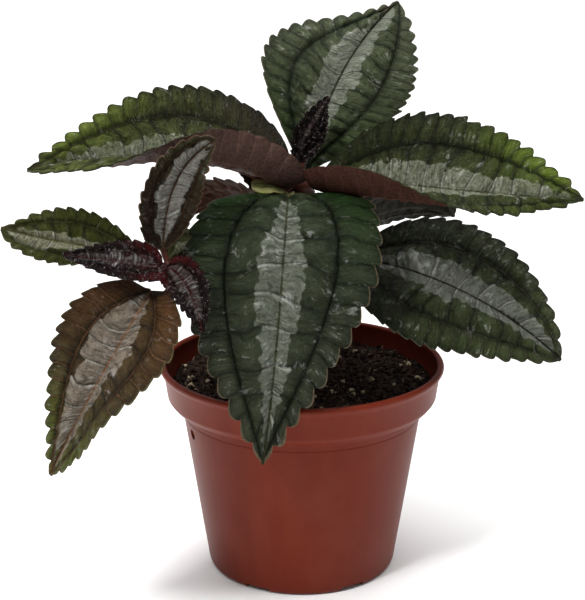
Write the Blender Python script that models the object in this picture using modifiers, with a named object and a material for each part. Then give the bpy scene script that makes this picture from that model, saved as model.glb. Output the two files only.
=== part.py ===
"""Potted friendship plant, in metres, +Z up, with its origin at the centre of the pot's foot.

A Pilea with a crown of four large leaves and a side shoot, in a round moulded nursery pot. The front of
the plant faces -Y. Every leaf is one node: its blade, mapped from a flat grid by a formula, and its stalk.
"""

import math
import random

import bmesh
import bpy
import numpy as np
from mathutils import Matrix, Vector, noise

# Pot
RIM_RADIUS = 0.0450
POT_HEIGHT = 0.0675
LIP_RADIUS = 0.0011
LIP_ANGLES = (200, 135, 80, 25, -35)
BAND_TOP_RADIUS = 0.0437
BAND_BOTTOM_RADIUS = 0.0427
BAND_HEIGHT = 0.0105
SHOULDER_STEP = 0.0014
SHOULDER_RISE = 0.0010
SHOULDER_DROP = 0.0018
SHOULDER_FILLET = 0.0006
BODY_TOP_RADIUS = 0.0381
BODY_HEIGHT = 0.0535
FOOT_RADIUS = 0.0302
FOOT_ROUNDING = 0.0016
POT_WALL = 0.0012
RING_HEIGHT = 0.0515
RING_HALF_HEIGHT = 0.0004
RING_DEPTH = 0.0002
POT_SEGMENTS = 48
VENT_COUNT = 2
VENT_FIRST_ANGLE = math.radians(205)
VENT_HEIGHT = 0.0480
VENT_WIDTH = 0.0012
VENT_LENGTH = 0.0032
VENT_SIDES = 10
DRAIN_COUNT = 6
DRAIN_FIRST_ANGLE = math.radians(-58)
DRAIN_WIDTH = 0.0080
DRAIN_HEIGHT = 0.0030
DRAIN_REACH = 0.0070

# Soil
SOIL_LEVEL = 0.0605
SOIL_RELIEF = 0.0016
SOIL_RELIEF_LENGTH = 0.009
SOIL_RINGS = 5
LUMP_COUNT = 10
LUMP_RADIUS = 0.0014
LUMP_STEM_CLEARANCE = 0.006
FIT_GAP = 0.0003

# Stems: the four points of the axis's Bezier curve from the buried end to the tip, and the end radii
STEM_BURIED = 0.014
STEM_SIDES = 10
STEM_POINTS = 14
STEM_HOLE_POINTS = 6
STEMS = {
    "stem_main": {
        "axis": ((0.002, 0.004, SOIL_LEVEL - STEM_BURIED), (0.002, 0.004, 0.075),
                 (-0.001, 0.001, 0.100), (0.0, 0.0, 0.1285)),
        "radii": (0.0026, 0.0019),
    },
    "stem_side": {
        "axis": ((-0.008, -0.008, SOIL_LEVEL - STEM_BURIED), (-0.008, -0.008, 0.074),
                 (-0.034, -0.029, 0.086), (-0.0405, -0.0390, 0.1095)),
        "radii": (0.0021, 0.0014),
    },
}
NODE_SWELLING = 0.25
NODE_SHARE = 0.02

# Blades
BLADE_THICKNESS = 0.0007
BLADE_END_HALF_WIDTH = 0.0005
TOOTH_DEPTH = 0.0014
TOOTH_PEAK = 0.68
TOOTH_LEAN = 1.8
TEETH_START_SHARE = 0.12
TEETH_END_SHARE = 0.06
LOBE_SHARE = 0.3
LOBE_ROOT_SHARE = 0.03
PUFF_HEIGHT = 0.0010
PLEAT_HEIGHT = 0.0004
RELIEF_HALF_WIDTH = 0.022
SIDE_VEIN = 0.56
COLUMNS = (-1, -SIDE_VEIN, -SIDE_VEIN / 2, 0, SIDE_VEIN / 2, SIDE_VEIN, 1)
FEW_COLUMNS = (-1, -0.5, 0, 0.5, 1)
STALK_SIDES = 6
STALK_RADIUS = 0.0011
THIN_STALK_RADIUS = 0.0008
STALK_ROOT = 0.0012
KEEL_SHARE = 0.3
KEEL_POINTS = 4
KEEL_END_RADIUS = 0.0004
KEEL_SINK = 0.0006

# Each leaf: the stem it grows on, how far along that stem, the four points of its midrib's Bezier curve,
# which way its upper face looks at the base and the tip, and its half widths. For each half come the fold
# at the midrib and the further curl out to the margin in degrees, up to the share "closed" and then from
# "opens" on, the powers that shape its outline towards the base and the tip, and how far its lobe sweeps
# back. The left half is on the left for someone who stands on the upper face and looks towards the tip.
FLAT = ((8, 8), (6, 0))
GROWN = {"left": FLAT, "right": FLAT, "closed": 0.0, "opens": 0.55, "powers": ((0.6, 1.0), (0.6, 1.0)),
         "lobes": (0.0, 0.0), "teeth": 16, "tooth": TOOTH_DEPTH, "columns": COLUMNS, "stalk": STALK_RADIUS,
         "colour": "leaf", "partner": None}
HALF_GROWN = {**GROWN, "teeth": 12, "tooth": 0.0010, "columns": FEW_COLUMNS, "stalk": 0.0009}
YOUNG = {**HALF_GROWN, "teeth": 10, "tooth": 0.0007, "stalk": THIN_STALK_RADIUS, "colour": "young"}
LEAVES = {
    "leaf_crown_left": {
        **GROWN, "stem": "stem_main", "height": 0.955,
        "rib": ((-0.0044, -0.0030, 0.1243), (-0.0217, -0.0058, 0.1356), (-0.0518, -0.0118, 0.1385),
                (-0.0819, -0.0139, 0.1319)),
        "faces": ((0.2, -0.1, 0.8), (0, -0.4, 1)), "half_widths": (0.0234, 0.0257),
        "powers": ((0.46, 0.75), (0.42, 1.25)), "opens": 0.8, "closed": 0.1, "lobes": (0.0074, 0.0),
        "left": ((-19, 163), (12, 17)), "right": ((16, 19), (50, 11)),
    },
    "leaf_crown_right": {
        **GROWN, "stem": "stem_main", "height": 0.955,
        "rib": ((0.0044, -0.0030, 0.1261), (0.0252, -0.0102, 0.1289), (0.0585, -0.0179, 0.1243),
                (0.0817, -0.0260, 0.1259)),
        "faces": ((-0.1, -0.3, 1), (0, -0.45, 1)), "half_widths": (0.0235, 0.0229),
        "powers": ((0.84, 1.06), (0.34, 1.0)), "opens": 0.84, "closed": 0.1, "lobes": (0.0, 0.0040),
        "left": ((34, 8), (26, -3)), "right": ((-26, 144), (5, 2)),
    },
    "leaf_crown_front": {
        **GROWN, "stem": "stem_main", "height": 0.88,
        "rib": ((-0.0041, -0.0060, 0.1216), (-0.0046, -0.0376, 0.1335), (-0.0064, -0.0461, 0.0858),
                (-0.0116, -0.0562, 0.0552)),
        "faces": ((0, -0.2, 1), (0, -1, 0.2)), "half_widths": (0.0268, 0.0276),
        "powers": ((0.59, 1.32), (0.73, 1.16)), "opens": 0.5, "left": ((8, -6), (6, -11)),
        "right": ((6, -7), (8, -10)), "tooth": 0.0019,
    },
    "leaf_crown_back": {
        **GROWN, "stem": "stem_main", "height": 0.92,
        "rib": ((0.0010, 0.0060, 0.1270), (0.0069, 0.0098, 0.1463), (0.0118, 0.0168, 0.1619),
                (0.0304, 0.0313, 0.1765)),
        "faces": ((0.1, -0.9, 0.3), (0.2, -0.7, 0.7)), "half_widths": (0.0252, 0.0214),
        "powers": ((1.1, 1.8), (1.0, 0.9)), "opens": 0.85, "left": ((27, 51), (1, -29)),
        "right": ((10, 10), (12, 2)),
    },
    "bud_crown": {
        **YOUNG, "stem": "stem_main", "height": 1.0,
        "rib": ((-0.0006, -0.0005, 0.1315), (-0.0014, -0.0024, 0.1370), (0.0020, -0.0024, 0.1435),
                (0.0080, -0.0010, 0.1515)),
        "faces": ((0.6, -1, 0.3), (0.6, -1, 0.3)), "half_widths": (0.0040, 0.0034),
        "partner": {
            "rib": ((-0.0003, -0.0004, 0.1320), (0.0028, 0.0010, 0.1365), (0.0058, 0.0012, 0.1415),
                    (0.0070, 0.0016, 0.1475)),
            "faces": ((-0.8, -1, 0.3), (-0.8, -1, 0.3)),
        },
    },
    "stipule_crown": {
        **YOUNG, "stem": "stem_main", "height": 0.925,
        "rib": ((-0.0040, -0.0042, 0.1224), (-0.0065, -0.0068, 0.1248), (-0.0100, -0.0093, 0.1259),
                (-0.0140, -0.0114, 0.1259)),
        "faces": ((0, -0.5, 1), (0, -0.5, 1)), "half_widths": (0.0022, 0.0022),
        "powers": ((0.9, 0.3), (0.9, 0.3)), "tooth": 0, "teeth": 5, "stalk": 0.0006, "colour": "stipule",
    },
    "leaf_axil": {
        **YOUNG, "stem": "stem_main", "height": 0.84,
        "rib": ((-0.005, -0.001, 0.1165), (-0.009, -0.001, 0.122), (-0.0135, -0.002, 0.1255),
                (-0.019, -0.002, 0.129)),
        "faces": ((0.3, -0.8, 0.6), (0.3, -0.8, 0.6)), "half_widths": (0.0042, 0.0042), "teeth": 8,
    },
    "leaf_low_right": {
        **GROWN, "stem": "stem_main", "height": 0.66,
        "rib": ((0.0155, -0.0040, 0.1021), (0.0327, -0.0095, 0.1020), (0.0589, -0.0164, 0.0936),
                (0.0787, -0.0199, 0.0742)),
        "faces": ((0.1, -0.7, 1), (0.3, -0.8, 0.8)), "half_widths": (0.0225, 0.0252),
        "powers": ((0.75, 1.0), (0.43, 0.9)), "opens": 0.46, "left": ((6, 7), (6, 0)),
        "right": ((10, 9), (3, -1)),
    },
    "leaf_low_back_right": {
        **GROWN, "stem": "stem_main", "height": 0.60,
        "rib": ((0.008, 0.009, 0.098), (0.020, 0.024, 0.1140), (0.0385, 0.035, 0.1125),
                (0.0515, 0.045, 0.1035)),
        "faces": ((-0.4, 0.7, 0.8), (0.1, 1.1, 0.8)), "half_widths": (0.0150, 0.0185), "teeth": 12,
        "columns": FEW_COLUMNS,
    },
    "leaf_low_back_left": {
        **GROWN, "stem": "stem_main", "height": 0.68,
        "rib": ((-0.0055, 0.006, 0.102), (-0.014, 0.016, 0.1175), (-0.024, 0.024, 0.118),
                (-0.0385, 0.030, 0.1075)),
        "faces": ((0.3, 0.6, 1), (-0.2, 1.2, 1)), "half_widths": (0.0130, 0.0120), "teeth": 12,
        "columns": FEW_COLUMNS,
    },
    "leaf_low_back": {
        **GROWN, "stem": "stem_main", "height": 0.45,
        "rib": ((0.0, 0.012, 0.086), (-0.004, 0.034, 0.100), (-0.010, 0.058, 0.084), (-0.014, 0.070, 0.062)),
        "faces": ((0, 0.2, 1), (0, 1, 0.4)), "half_widths": (0.0200, 0.0200), "teeth": 14,
        "columns": FEW_COLUMNS,
    },
    "leaf_side_upper": {
        **HALF_GROWN, "stem": "stem_side", "height": 0.975,
        "rib": ((-0.0401, -0.0365, 0.1138), (-0.0394, -0.0345, 0.1283), (-0.0358, -0.0351, 0.1392),
                (-0.0244, -0.0379, 0.1457)),
        "faces": ((0.1, -1, 0.3), (0.1, -1, 0.3)), "half_widths": (0.0090, 0.0089),
        "powers": ((0.35, 0.65), (0.6, 0.75)), "left": ((27, 28), (22, 21)), "right": ((29, 29), (19, 20)),
    },
    "leaf_side_outer": {
        **HALF_GROWN, "stem": "stem_side", "height": 0.93,
        "rib": ((-0.0452, -0.0380, 0.1110), (-0.0573, -0.0373, 0.1148), (-0.0698, -0.0390, 0.1158),
                (-0.0853, -0.0419, 0.1213)),
        "faces": ((0, -0.8, 1), (0, -0.9, 1)), "half_widths": (0.0076, 0.0109),
        "powers": ((1.1, 0.67), (1.2, 1.27)),
    },
    "leaf_side_inner": {
        **HALF_GROWN, "stem": "stem_side", "height": 0.86,
        "rib": ((-0.0395, -0.0315, 0.109), (-0.033, -0.022, 0.114), (-0.022, -0.016, 0.111),
                (-0.013, -0.014, 0.1035)),
        "faces": ((0.3, 0, 1), (0.5, 0.1, 1)), "half_widths": (0.0090, 0.0090),
    },
    "leaf_side_lower": {
        **GROWN, "stem": "stem_side", "height": 0.90,
        "rib": ((-0.0430, -0.0440, 0.1035), (-0.0448, -0.0541, 0.1026), (-0.0599, -0.0600, 0.0784),
                (-0.0722, -0.0578, 0.0527)),
        "faces": ((-0.2, -0.4, 1), (-0.1, -1, 0.5)), "half_widths": (0.0192, 0.0170),
        "powers": ((0.66, 1.06), (0.65, 1.36)), "opens": 0.67, "closed": 0.09, "left": ((-3, 3), (37, 13)),
        "right": ((20, 15), (8, 1)), "teeth": 14,
    },
    "leaf_side_young_left": {
        **YOUNG, "stem": "stem_side", "height": 0.985,
        "rib": ((-0.0425, -0.0435, 0.111), (-0.048, -0.047, 0.114), (-0.058, -0.050, 0.1135),
                (-0.0665, -0.052, 0.1165)),
        "faces": ((0, -0.7, 1), (0, -0.7, 1)), "half_widths": (0.0060, 0.0060),
    },
    "leaf_side_young_right": {
        **YOUNG, "stem": "stem_side", "height": 0.985,
        "rib": ((-0.037, -0.0430, 0.110), (-0.033, -0.048, 0.1100), (-0.0302, -0.0515, 0.103),
                (-0.0283, -0.0525, 0.094)),
        "faces": ((0, -1, 1), (0.2, -1, 0.5)), "half_widths": (0.0050, 0.0050),
    },
}

# Colour (linear), roughness
FINISHES = {
    "moulded_plastic": ((0.195, 0.045, 0.025), 0.42),
    "potting_mix": ((0.020, 0.014, 0.010), 0.95),
    "stem": ((0.090, 0.045, 0.030), 0.55),
    "leaf": ((0.035, 0.060, 0.025), 0.45),
    "young": ((0.040, 0.010, 0.013), 0.50),
    "stipule": ((0.190, 0.200, 0.070), 0.50),
}


def clear_scene():
    for thing in list(bpy.data.objects):
        bpy.data.objects.remove(thing)


def new_collection(name, hidden=False):
    collection = bpy.data.collections.new(name)
    bpy.context.scene.collection.children.link(collection)
    collection.hide_render = hidden
    return collection


def principled(name):
    colour, roughness = FINISHES[name]
    material = bpy.data.materials.new(name)
    material.use_nodes = True
    shader = material.node_tree.nodes["Principled BSDF"]
    shader.inputs["Base Color"].default_value = (*colour, 1)
    shader.inputs["Roughness"].default_value = roughness
    shader.inputs["Metallic"].default_value = 0
    return material


def new_object(name, data, collection, material=None):
    thing = bpy.data.objects.new(name, data)
    collection.objects.link(thing)
    if material:
        data.materials.append(material)
    return thing


def as_cutter(thing):
    thing.hide_render = True
    thing.display_type = "WIRE"
    return thing


def baked(thing, name, collection):
    """A mesh object with the evaluated shape of this one, its caps welded. The first object is removed."""
    mesh = bpy.data.meshes.new_from_object(thing.evaluated_get(bpy.context.evaluated_depsgraph_get()))
    body = bmesh.new()
    body.from_mesh(mesh)
    bmesh.ops.remove_doubles(body, verts=body.verts, dist=1e-7)
    body.to_mesh(mesh)
    body.free()
    result = new_object(name, mesh, collection)
    result.matrix_world = thing.matrix_world.copy()
    bpy.data.objects.remove(thing)
    return result


def add_boolean(thing, operation, operand):
    """A live Boolean with one object, or with all the objects of a collection."""
    boolean = thing.modifiers.new(operation.lower(), "BOOLEAN")
    boolean.operation = operation
    boolean.solver = "EXACT"
    if isinstance(operand, bpy.types.Collection):
        boolean.operand_type = "COLLECTION"
        boolean.collection = operand
    else:
        boolean.object = operand


def turned(name, profile, collection, material=None):
    """A solid turned round Z from (radius, height) points that run down its outer side."""
    mesh = bpy.data.meshes.new(name)
    mesh.from_pydata([(radius, 0, height) for radius, height in profile],
                     [(i, i + 1) for i in range(len(profile) - 1)], [])
    thing = new_object(name, mesh, collection, material)
    screw = thing.modifiers.new("turn", "SCREW")
    screw.steps = screw.render_steps = POT_SEGMENTS
    screw.use_merge_vertices = True
    screw.merge_threshold = 1e-6
    return thing


def tube(name, points, radii, sides, collection, material=None):
    """A round curve object through these points, with a radius for each and an even number of sides."""
    curve = bpy.data.curves.new(name, "CURVE")
    curve.dimensions = "3D"
    curve.bevel_depth = 1
    curve.bevel_resolution = (sides - 4) // 2
    curve.use_fill_caps = True
    spline = curve.splines.new("POLY")
    spline.points.add(len(points) - 1)
    for knot, point, radius in zip(spline.points, points, radii):
        knot.co = (*point, 1)
        knot.radius = radius
    return new_object(name, curve, collection, material)


def points_along(handles, shares):
    """Points of a cubic Bezier curve at these shares of its length."""
    t = np.linspace(0, 1, 200)[:, None]
    first, second, third, last = (np.array(handle) for handle in handles)
    fine = (1 - t)**3 * first + 3 * (1 - t)**2 * t * second + 3 * (1 - t) * t**2 * third + t**3 * last
    run = np.concatenate(([0], np.cumsum(np.linalg.norm(np.diff(fine, axis=0), axis=1))))
    return np.stack([np.interp(np.array(shares) * run[-1], run, fine[:, axis]) for axis in range(3)], axis=1)


def unit(vectors):
    return vectors / np.linalg.norm(vectors, axis=-1, keepdims=True)


def body_radius(height):
    """The pot's outer radius on its plain tapered body."""
    taper = (BODY_TOP_RADIUS - FOOT_RADIUS) / (BODY_HEIGHT - FOOT_ROUNDING)
    return FOOT_RADIUS + taper * (height - FOOT_ROUNDING)


def pot_bore_profile(gap):
    """The pot's inside, from the shoulder under its rim band down to the middle of its floor, less a gap."""
    shoulder = POT_HEIGHT - BAND_HEIGHT
    return [
        (BAND_BOTTOM_RADIUS - POT_WALL - gap, shoulder + SHOULDER_RISE),
        (BAND_BOTTOM_RADIUS - POT_WALL - gap - SHOULDER_STEP, shoulder + SHOULDER_RISE - SHOULDER_DROP),
        (BODY_TOP_RADIUS - POT_WALL - gap, BODY_HEIGHT),
        (FOOT_RADIUS - POT_WALL - gap, POT_WALL + gap),
        (0, POT_WALL + gap),
    ]


def pot_profile():
    """Up the inside, over the rolled lip, and down the outside to the middle of the foot."""
    lip_centre = Vector((RIM_RADIUS - LIP_RADIUS, POT_HEIGHT - LIP_RADIUS))
    lip = [tuple(lip_centre + LIP_RADIUS * Vector((math.cos(angle), math.sin(angle))))
           for angle in np.radians(LIP_ANGLES)]
    shoulder = POT_HEIGHT - BAND_HEIGHT
    ring = body_radius(RING_HEIGHT)
    return pot_bore_profile(0)[::-1] + lip + [
        (BAND_TOP_RADIUS, POT_HEIGHT - 3 * LIP_RADIUS),
        (BAND_BOTTOM_RADIUS, shoulder),
        (BAND_BOTTOM_RADIUS - SHOULDER_STEP, shoulder - SHOULDER_DROP),
        (BODY_TOP_RADIUS + SHOULDER_FILLET, BODY_HEIGHT + SHOULDER_FILLET),
        (BODY_TOP_RADIUS, BODY_HEIGHT),
        (ring, RING_HEIGHT + RING_HALF_HEIGHT),
        (ring - RING_DEPTH, RING_HEIGHT),
        (ring, RING_HEIGHT - RING_HALF_HEIGHT),
        (FOOT_RADIUS, FOOT_ROUNDING),
        (FOOT_RADIUS - 0.3 * FOOT_ROUNDING, 0.3 * FOOT_ROUNDING),
        (FOOT_RADIUS - FOOT_ROUNDING, 0),
        (0, 0),
    ]


def wall_cutter(name, angle, radius, height, size, sides, collection):
    """A bar through the wall at this angle. Its size is radial, across and up, and its sides are counted."""
    body = bmesh.new()
    bmesh.ops.create_cone(body, cap_ends=True, segments=sides, radius1=0.5, radius2=0.5, depth=1)
    mesh = bpy.data.meshes.new(name)
    body.to_mesh(mesh)
    body.free()
    if sides == 4:
        mesh.transform(Matrix.Rotation(math.pi / 4, 4, "Z") @ Matrix.Scale(math.sqrt(2), 4))
        mesh.transform(Matrix.Diagonal((1, 1, 1 / math.sqrt(2), 1)))
    mesh.transform(Matrix.Rotation(math.pi / 2, 4, "Y"))
    thing = as_cutter(new_object(name, mesh, collection))
    thing.matrix_world = (Matrix.Rotation(angle, 4, "Z") @ Matrix.Translation((radius, 0, height))
                          @ Matrix.Diagonal((*size, 1)))
    return thing


def add_pot(parts, cutters):
    pot = turned("pot", pot_profile(), parts, principled("moulded_plastic"))
    for number in range(VENT_COUNT):
        angle = VENT_FIRST_ANGLE + number * math.tau / VENT_COUNT
        size = (6 * POT_WALL, VENT_WIDTH, VENT_LENGTH)
        add_boolean(pot, "DIFFERENCE", wall_cutter(
            f"vent_{number}", angle, body_radius(VENT_HEIGHT), VENT_HEIGHT, size, VENT_SIDES, cutters))
    for number in range(DRAIN_COUNT):
        angle = DRAIN_FIRST_ANGLE + number * math.tau / DRAIN_COUNT
        size = (DRAIN_REACH, DRAIN_WIDTH, DRAIN_HEIGHT)
        add_boolean(pot, "DIFFERENCE", wall_cutter(
            f"drain_{number}", angle, FOOT_RADIUS, 0, size, 4, cutters))
    pot.data.shade_smooth()
    return pot


def soil_height(spot):
    return SOIL_LEVEL + SOIL_RELIEF * noise.noise(Vector((*spot, 0)) / SOIL_RELIEF_LENGTH)


def stem_radii(name, shares):
    """The stem thins towards its tip and swells a little at each leaf node."""
    foot, tip = STEMS[name]["radii"]
    nodes = [leaf["height"] for leaf in LEAVES.values() if leaf["stem"] == name]
    swelling = [1 + NODE_SWELLING * max(math.exp(-((share - node) / NODE_SHARE)**2) for node in nodes)
                for share in shares]
    return [(foot + (tip - foot) * share) * swell for share, swell in zip(shares, swelling)]


def add_lump(name, spot, draw, collection):
    body = bmesh.new()
    bmesh.ops.create_icosphere(body, subdivisions=1, radius=LUMP_RADIUS)
    mesh = bpy.data.meshes.new(name)
    body.to_mesh(mesh)
    body.free()
    lump = as_cutter(new_object(name, mesh, collection))
    lump.location = (*spot, soil_height(spot))
    lump.rotation_euler = [draw.uniform(0, math.tau) for _ in range(3)]
    lump.scale = (draw.uniform(0.8, 1.8), draw.uniform(0.7, 1.2), draw.uniform(0.7, 1.2))


def add_soil(parts, cutters, lumps):
    """The mix is turned like the pot's inside, its top raised into crumbs, with a hole for each stem."""
    bore = pot_bore_profile(FIT_GAP)
    edge = bore[0][0]
    top = [(edge * ring / SOIL_RINGS, SOIL_LEVEL) for ring in range(SOIL_RINGS + 1)]
    blank = turned("soil_blank", top + bore, cutters)
    bpy.context.view_layer.update()
    soil = baked(blank, "soil", parts)
    soil.data.materials.append(principled("potting_mix"))
    for vertex in soil.data.vertices:
        if vertex.co.z > SOIL_LEVEL - 1e-5 and vertex.co.xy.length < edge - 1e-4:
            vertex.co.z = soil_height(vertex.co.xy)
    draw = random.Random(7)
    feet = [Vector(stem["axis"][1][:2]) for stem in STEMS.values()]
    while len(lumps.objects) < LUMP_COUNT:
        spot = Vector((draw.uniform(-edge, edge), draw.uniform(-edge, edge)))
        stem_distance = min((spot - foot).length for foot in feet)
        if spot.length < edge - 2 * LUMP_RADIUS and stem_distance > LUMP_STEM_CLEARANCE:
            add_lump(f"lump_{len(lumps.objects)}", spot, draw, lumps)
    add_boolean(soil, "UNION", lumps)
    for name, stem in STEMS.items():
        shares = np.linspace(0, 1, STEM_POINTS)[:STEM_HOLE_POINTS]
        path = points_along(stem["axis"], shares)
        path[0, 2] -= FIT_GAP
        radii = [radius + FIT_GAP for radius in stem_radii(name, shares)]
        bore = tube(f"{name}_bore", path, radii, STEM_SIDES, cutters)
        add_boolean(soil, "DIFFERENCE", as_cutter(baked(bore, f"{name}_hole", cutters)))
    soil.data.shade_flat()
    return soil


def add_stem(name, parts, material):
    shares = np.linspace(0, 1, STEM_POINTS)
    return tube(name, points_along(STEMS[name]["axis"], shares), stem_radii(name, shares), STEM_SIDES, parts,
                material)


def blade_frame(leaf, shares):
    """The midrib's points at these shares, and its directions along, across and up from the upper face."""
    rib = points_along(leaf["rib"], shares)
    along = unit(np.gradient(rib, shares, axis=0))
    at_base, at_tip = (unit(np.array(face, float)) for face in leaf["faces"])
    share = np.array(shares)[:, None]
    up = at_base * (1 - share) + at_tip * share
    up = unit(up - (up * along).sum(axis=1, keepdims=True) * along)
    return rib, along, np.cross(along, up), up


def blade_outline(powers, shares):
    """The half width at each share, as a part of the widest."""
    base_power, tip_power = powers
    widest = base_power / (base_power + tip_power)
    return shares**base_power * (1 - shares)**tip_power / (widest**base_power * (1 - widest)**tip_power)


def blade_points(leaf, shares, columns):
    """The upper face: a row of points for each share of the midrib, from the left margin to the right."""
    shares = np.array(shares)
    rib, along, across, up = blade_frame(leaf, shares)
    opened = np.clip((shares - leaf["closed"]) / (leaf["opens"] - leaf["closed"]), 0, 1)
    opened = opened**2 * (3 - 2 * opened)
    phase = shares * leaf["teeth"] % 1
    teeth = leaf["tooth"] * np.sin(math.pi * phase**TOOTH_LEAN)**0.6
    teeth *= np.minimum(1, np.minimum(shares / TEETH_START_SHARE, (1 - shares) / TEETH_END_SHARE))
    swept = np.minimum(1, shares / LOBE_ROOT_SHARE) * np.maximum(0, 1 - shares / LOBE_SHARE)**2
    relief = max(leaf["half_widths"]) / RELIEF_HALF_WIDTH * np.minimum(1, 8 * shares * (1 - shares))
    points = np.empty((len(shares), len(columns), 3))
    for place, column in enumerate(columns):
        reach, half = abs(column), int(column > 0)
        near, far = leaf[("left", "right")[half]]
        fold, curl = (np.radians(start + (end - start) * opened) for start, end in zip(near, far))
        width = leaf["half_widths"][half] * blade_outline(leaf["powers"][half], shares)
        width = np.maximum(width, BLADE_END_HALF_WIDTH) + teeth * reach**6
        bend = curl * reach / 2
        chord = width * reach * np.sinc(bend / math.pi)
        puff = PUFF_HEIGHT * math.sin(math.pi * reach / SIDE_VEIN)**2 * (1 - reach)
        pleat = PLEAT_HEIGHT * 4 * reach * (1 - reach) * np.sin(math.pi * phase)
        forward = 0.5 * teeth * reach**6 - leaf["lobes"][half] * reach**2 * swept
        sideways = math.copysign(1, column) * chord * np.cos(fold + bend)
        rise = chord * np.sin(fold + bend) + (puff + pleat) * relief
        points[:, place] = rib + along * forward[:, None] + across * sideways[:, None] + up * rise[:, None]
    return points


def add_blade(name, leaf, collection, material=None):
    """A grid with a row at the notch and at the peak of each tooth, mapped to the blade and thickened."""
    rows = [(tooth + phase) / leaf["teeth"] for tooth in range(leaf["teeth"]) for phase in (0, TOOTH_PEAK)]
    rows.append(1)
    columns = leaf["columns"]
    points = blade_points(leaf, rows, columns)
    body = bmesh.new()
    bmesh.ops.create_grid(body, x_segments=len(rows) - 1, y_segments=len(columns) - 1, size=1)
    for vertex in body.verts:
        row = round((vertex.co.x + 1) / 2 * (len(rows) - 1))
        place = round((1 - vertex.co.y) / 2 * (len(columns) - 1))
        vertex.co = points[row, place]
    bmesh.ops.triangulate(body, faces=body.faces)
    mesh = bpy.data.meshes.new(name)
    body.to_mesh(mesh)
    body.free()
    blade = new_object(name, mesh, collection, material)
    solidify = blade.modifiers.new("thickness", "SOLIDIFY")
    solidify.thickness = BLADE_THICKNESS
    solidify.offset = -1
    return blade


def stalk_start(leaf):
    """A point just off the stem's skin at the leaf's node, and the way out from the stem there."""
    axis, share = STEMS[leaf["stem"]]["axis"], leaf["height"]
    before, node = (Vector(point) for point in points_along(axis, (share - 0.01, share)))
    growth = (node - before).normalized()
    if share == 1:
        return node + growth * FIT_GAP, growth
    outward = Vector(leaf["rib"][0]) - node
    outward = (outward - outward.dot(growth) * growth).normalized()
    return node + outward * (stem_radii(leaf["stem"], [share])[0] + FIT_GAP), outward


def add_stalk(name, leaf, collection):
    """The stalk runs from the stem to the blade, then on as the keel under its midrib."""
    start, outward = stalk_start(leaf)
    rib, along, _, up = blade_frame(leaf, np.linspace(0, KEEL_SHARE, KEEL_POINTS))
    keel = [Vector(point) for point in rib - up * KEEL_SINK]
    root = start + outward * STALK_ROOT
    arm = (keel[0] - root).length / 3
    handles = (root, root + outward * arm, keel[0] - Vector(along[0]) * arm, keel[0])
    stalk = [start, root, Vector(points_along(handles, [0.5])[0])]
    thinning = np.linspace(leaf["stalk"], KEEL_END_RADIUS, KEEL_POINTS)
    path = tube(f"{name}_path", stalk + keel, [leaf["stalk"]] * len(stalk) + list(thinning), STALK_SIDES,
                collection)
    return as_cutter(baked(path, f"{name}_stalk", collection))


def add_leaf(name, leaf, collection, cutters, material):
    blade = add_blade(name, leaf, collection, material)
    add_boolean(blade, "UNION", add_stalk(name, leaf, cutters))
    if leaf["partner"]:
        partner = add_blade(f"{name}_partner", {**leaf, **leaf["partner"]}, cutters)
        add_boolean(blade, "UNION", as_cutter(partner))
    blade.data.shade_smooth()
    return blade


def main():
    clear_scene()
    parts = new_collection("potted_friendship_plant")
    cutters = new_collection("cutters", hidden=True)
    lumps = new_collection("soil_lumps", hidden=True)
    pieces = [add_pot(parts, cutters), add_soil(parts, cutters, lumps)]
    stem_skin = principled("stem")
    pieces += [add_stem(name, parts, stem_skin) for name in STEMS]
    skins = {colour: principled(colour) for colour in ("leaf", "young", "stipule")}
    pieces += [add_leaf(name, leaf, parts, cutters, skins[leaf["colour"]]) for name, leaf in LEAVES.items()]
    base = new_object("plant_origin", None, parts)
    for piece in pieces:
        piece.parent = base


main()
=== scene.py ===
"""Looks of the potted friendship plant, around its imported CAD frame. Metres, +Z up, the front faces -Y.

The file follows the plant as it is put together: the studio, the pot, the potting mix, the stems, the
leaves from the crown down to the side shoot, and last the young leaves and their hairs.
"""

import math

import bmesh
import bpy
import numpy as np
from mathutils import Euler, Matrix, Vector, noise


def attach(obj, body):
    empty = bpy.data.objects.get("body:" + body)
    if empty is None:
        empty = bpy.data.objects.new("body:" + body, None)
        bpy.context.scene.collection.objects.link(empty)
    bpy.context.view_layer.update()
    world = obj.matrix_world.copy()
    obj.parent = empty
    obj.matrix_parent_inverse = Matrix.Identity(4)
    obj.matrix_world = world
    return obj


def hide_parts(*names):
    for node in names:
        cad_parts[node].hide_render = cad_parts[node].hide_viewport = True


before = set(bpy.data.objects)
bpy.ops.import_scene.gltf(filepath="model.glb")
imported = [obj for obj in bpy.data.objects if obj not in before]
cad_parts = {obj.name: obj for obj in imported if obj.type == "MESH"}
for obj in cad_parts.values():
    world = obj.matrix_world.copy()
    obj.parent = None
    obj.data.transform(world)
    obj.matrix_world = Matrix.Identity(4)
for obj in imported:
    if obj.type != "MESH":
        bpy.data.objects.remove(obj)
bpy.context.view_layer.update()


# Studio
# A pale matte floor under soft light, as in a white photo tent: a bright surround, one large soft
# box overhead, and a small one at the front left that gives the leaves their glints.

def linear(hex_code):
    """The linear RGBA of an sRGB hex colour."""
    channels = [int(hex_code[start:start + 2], 16) / 255 for start in (1, 3, 5)]
    return (*(c / 12.92 if c <= 0.04045 else ((c + 0.055) / 1.055)**2.4 for c in channels), 1.0)


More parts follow.
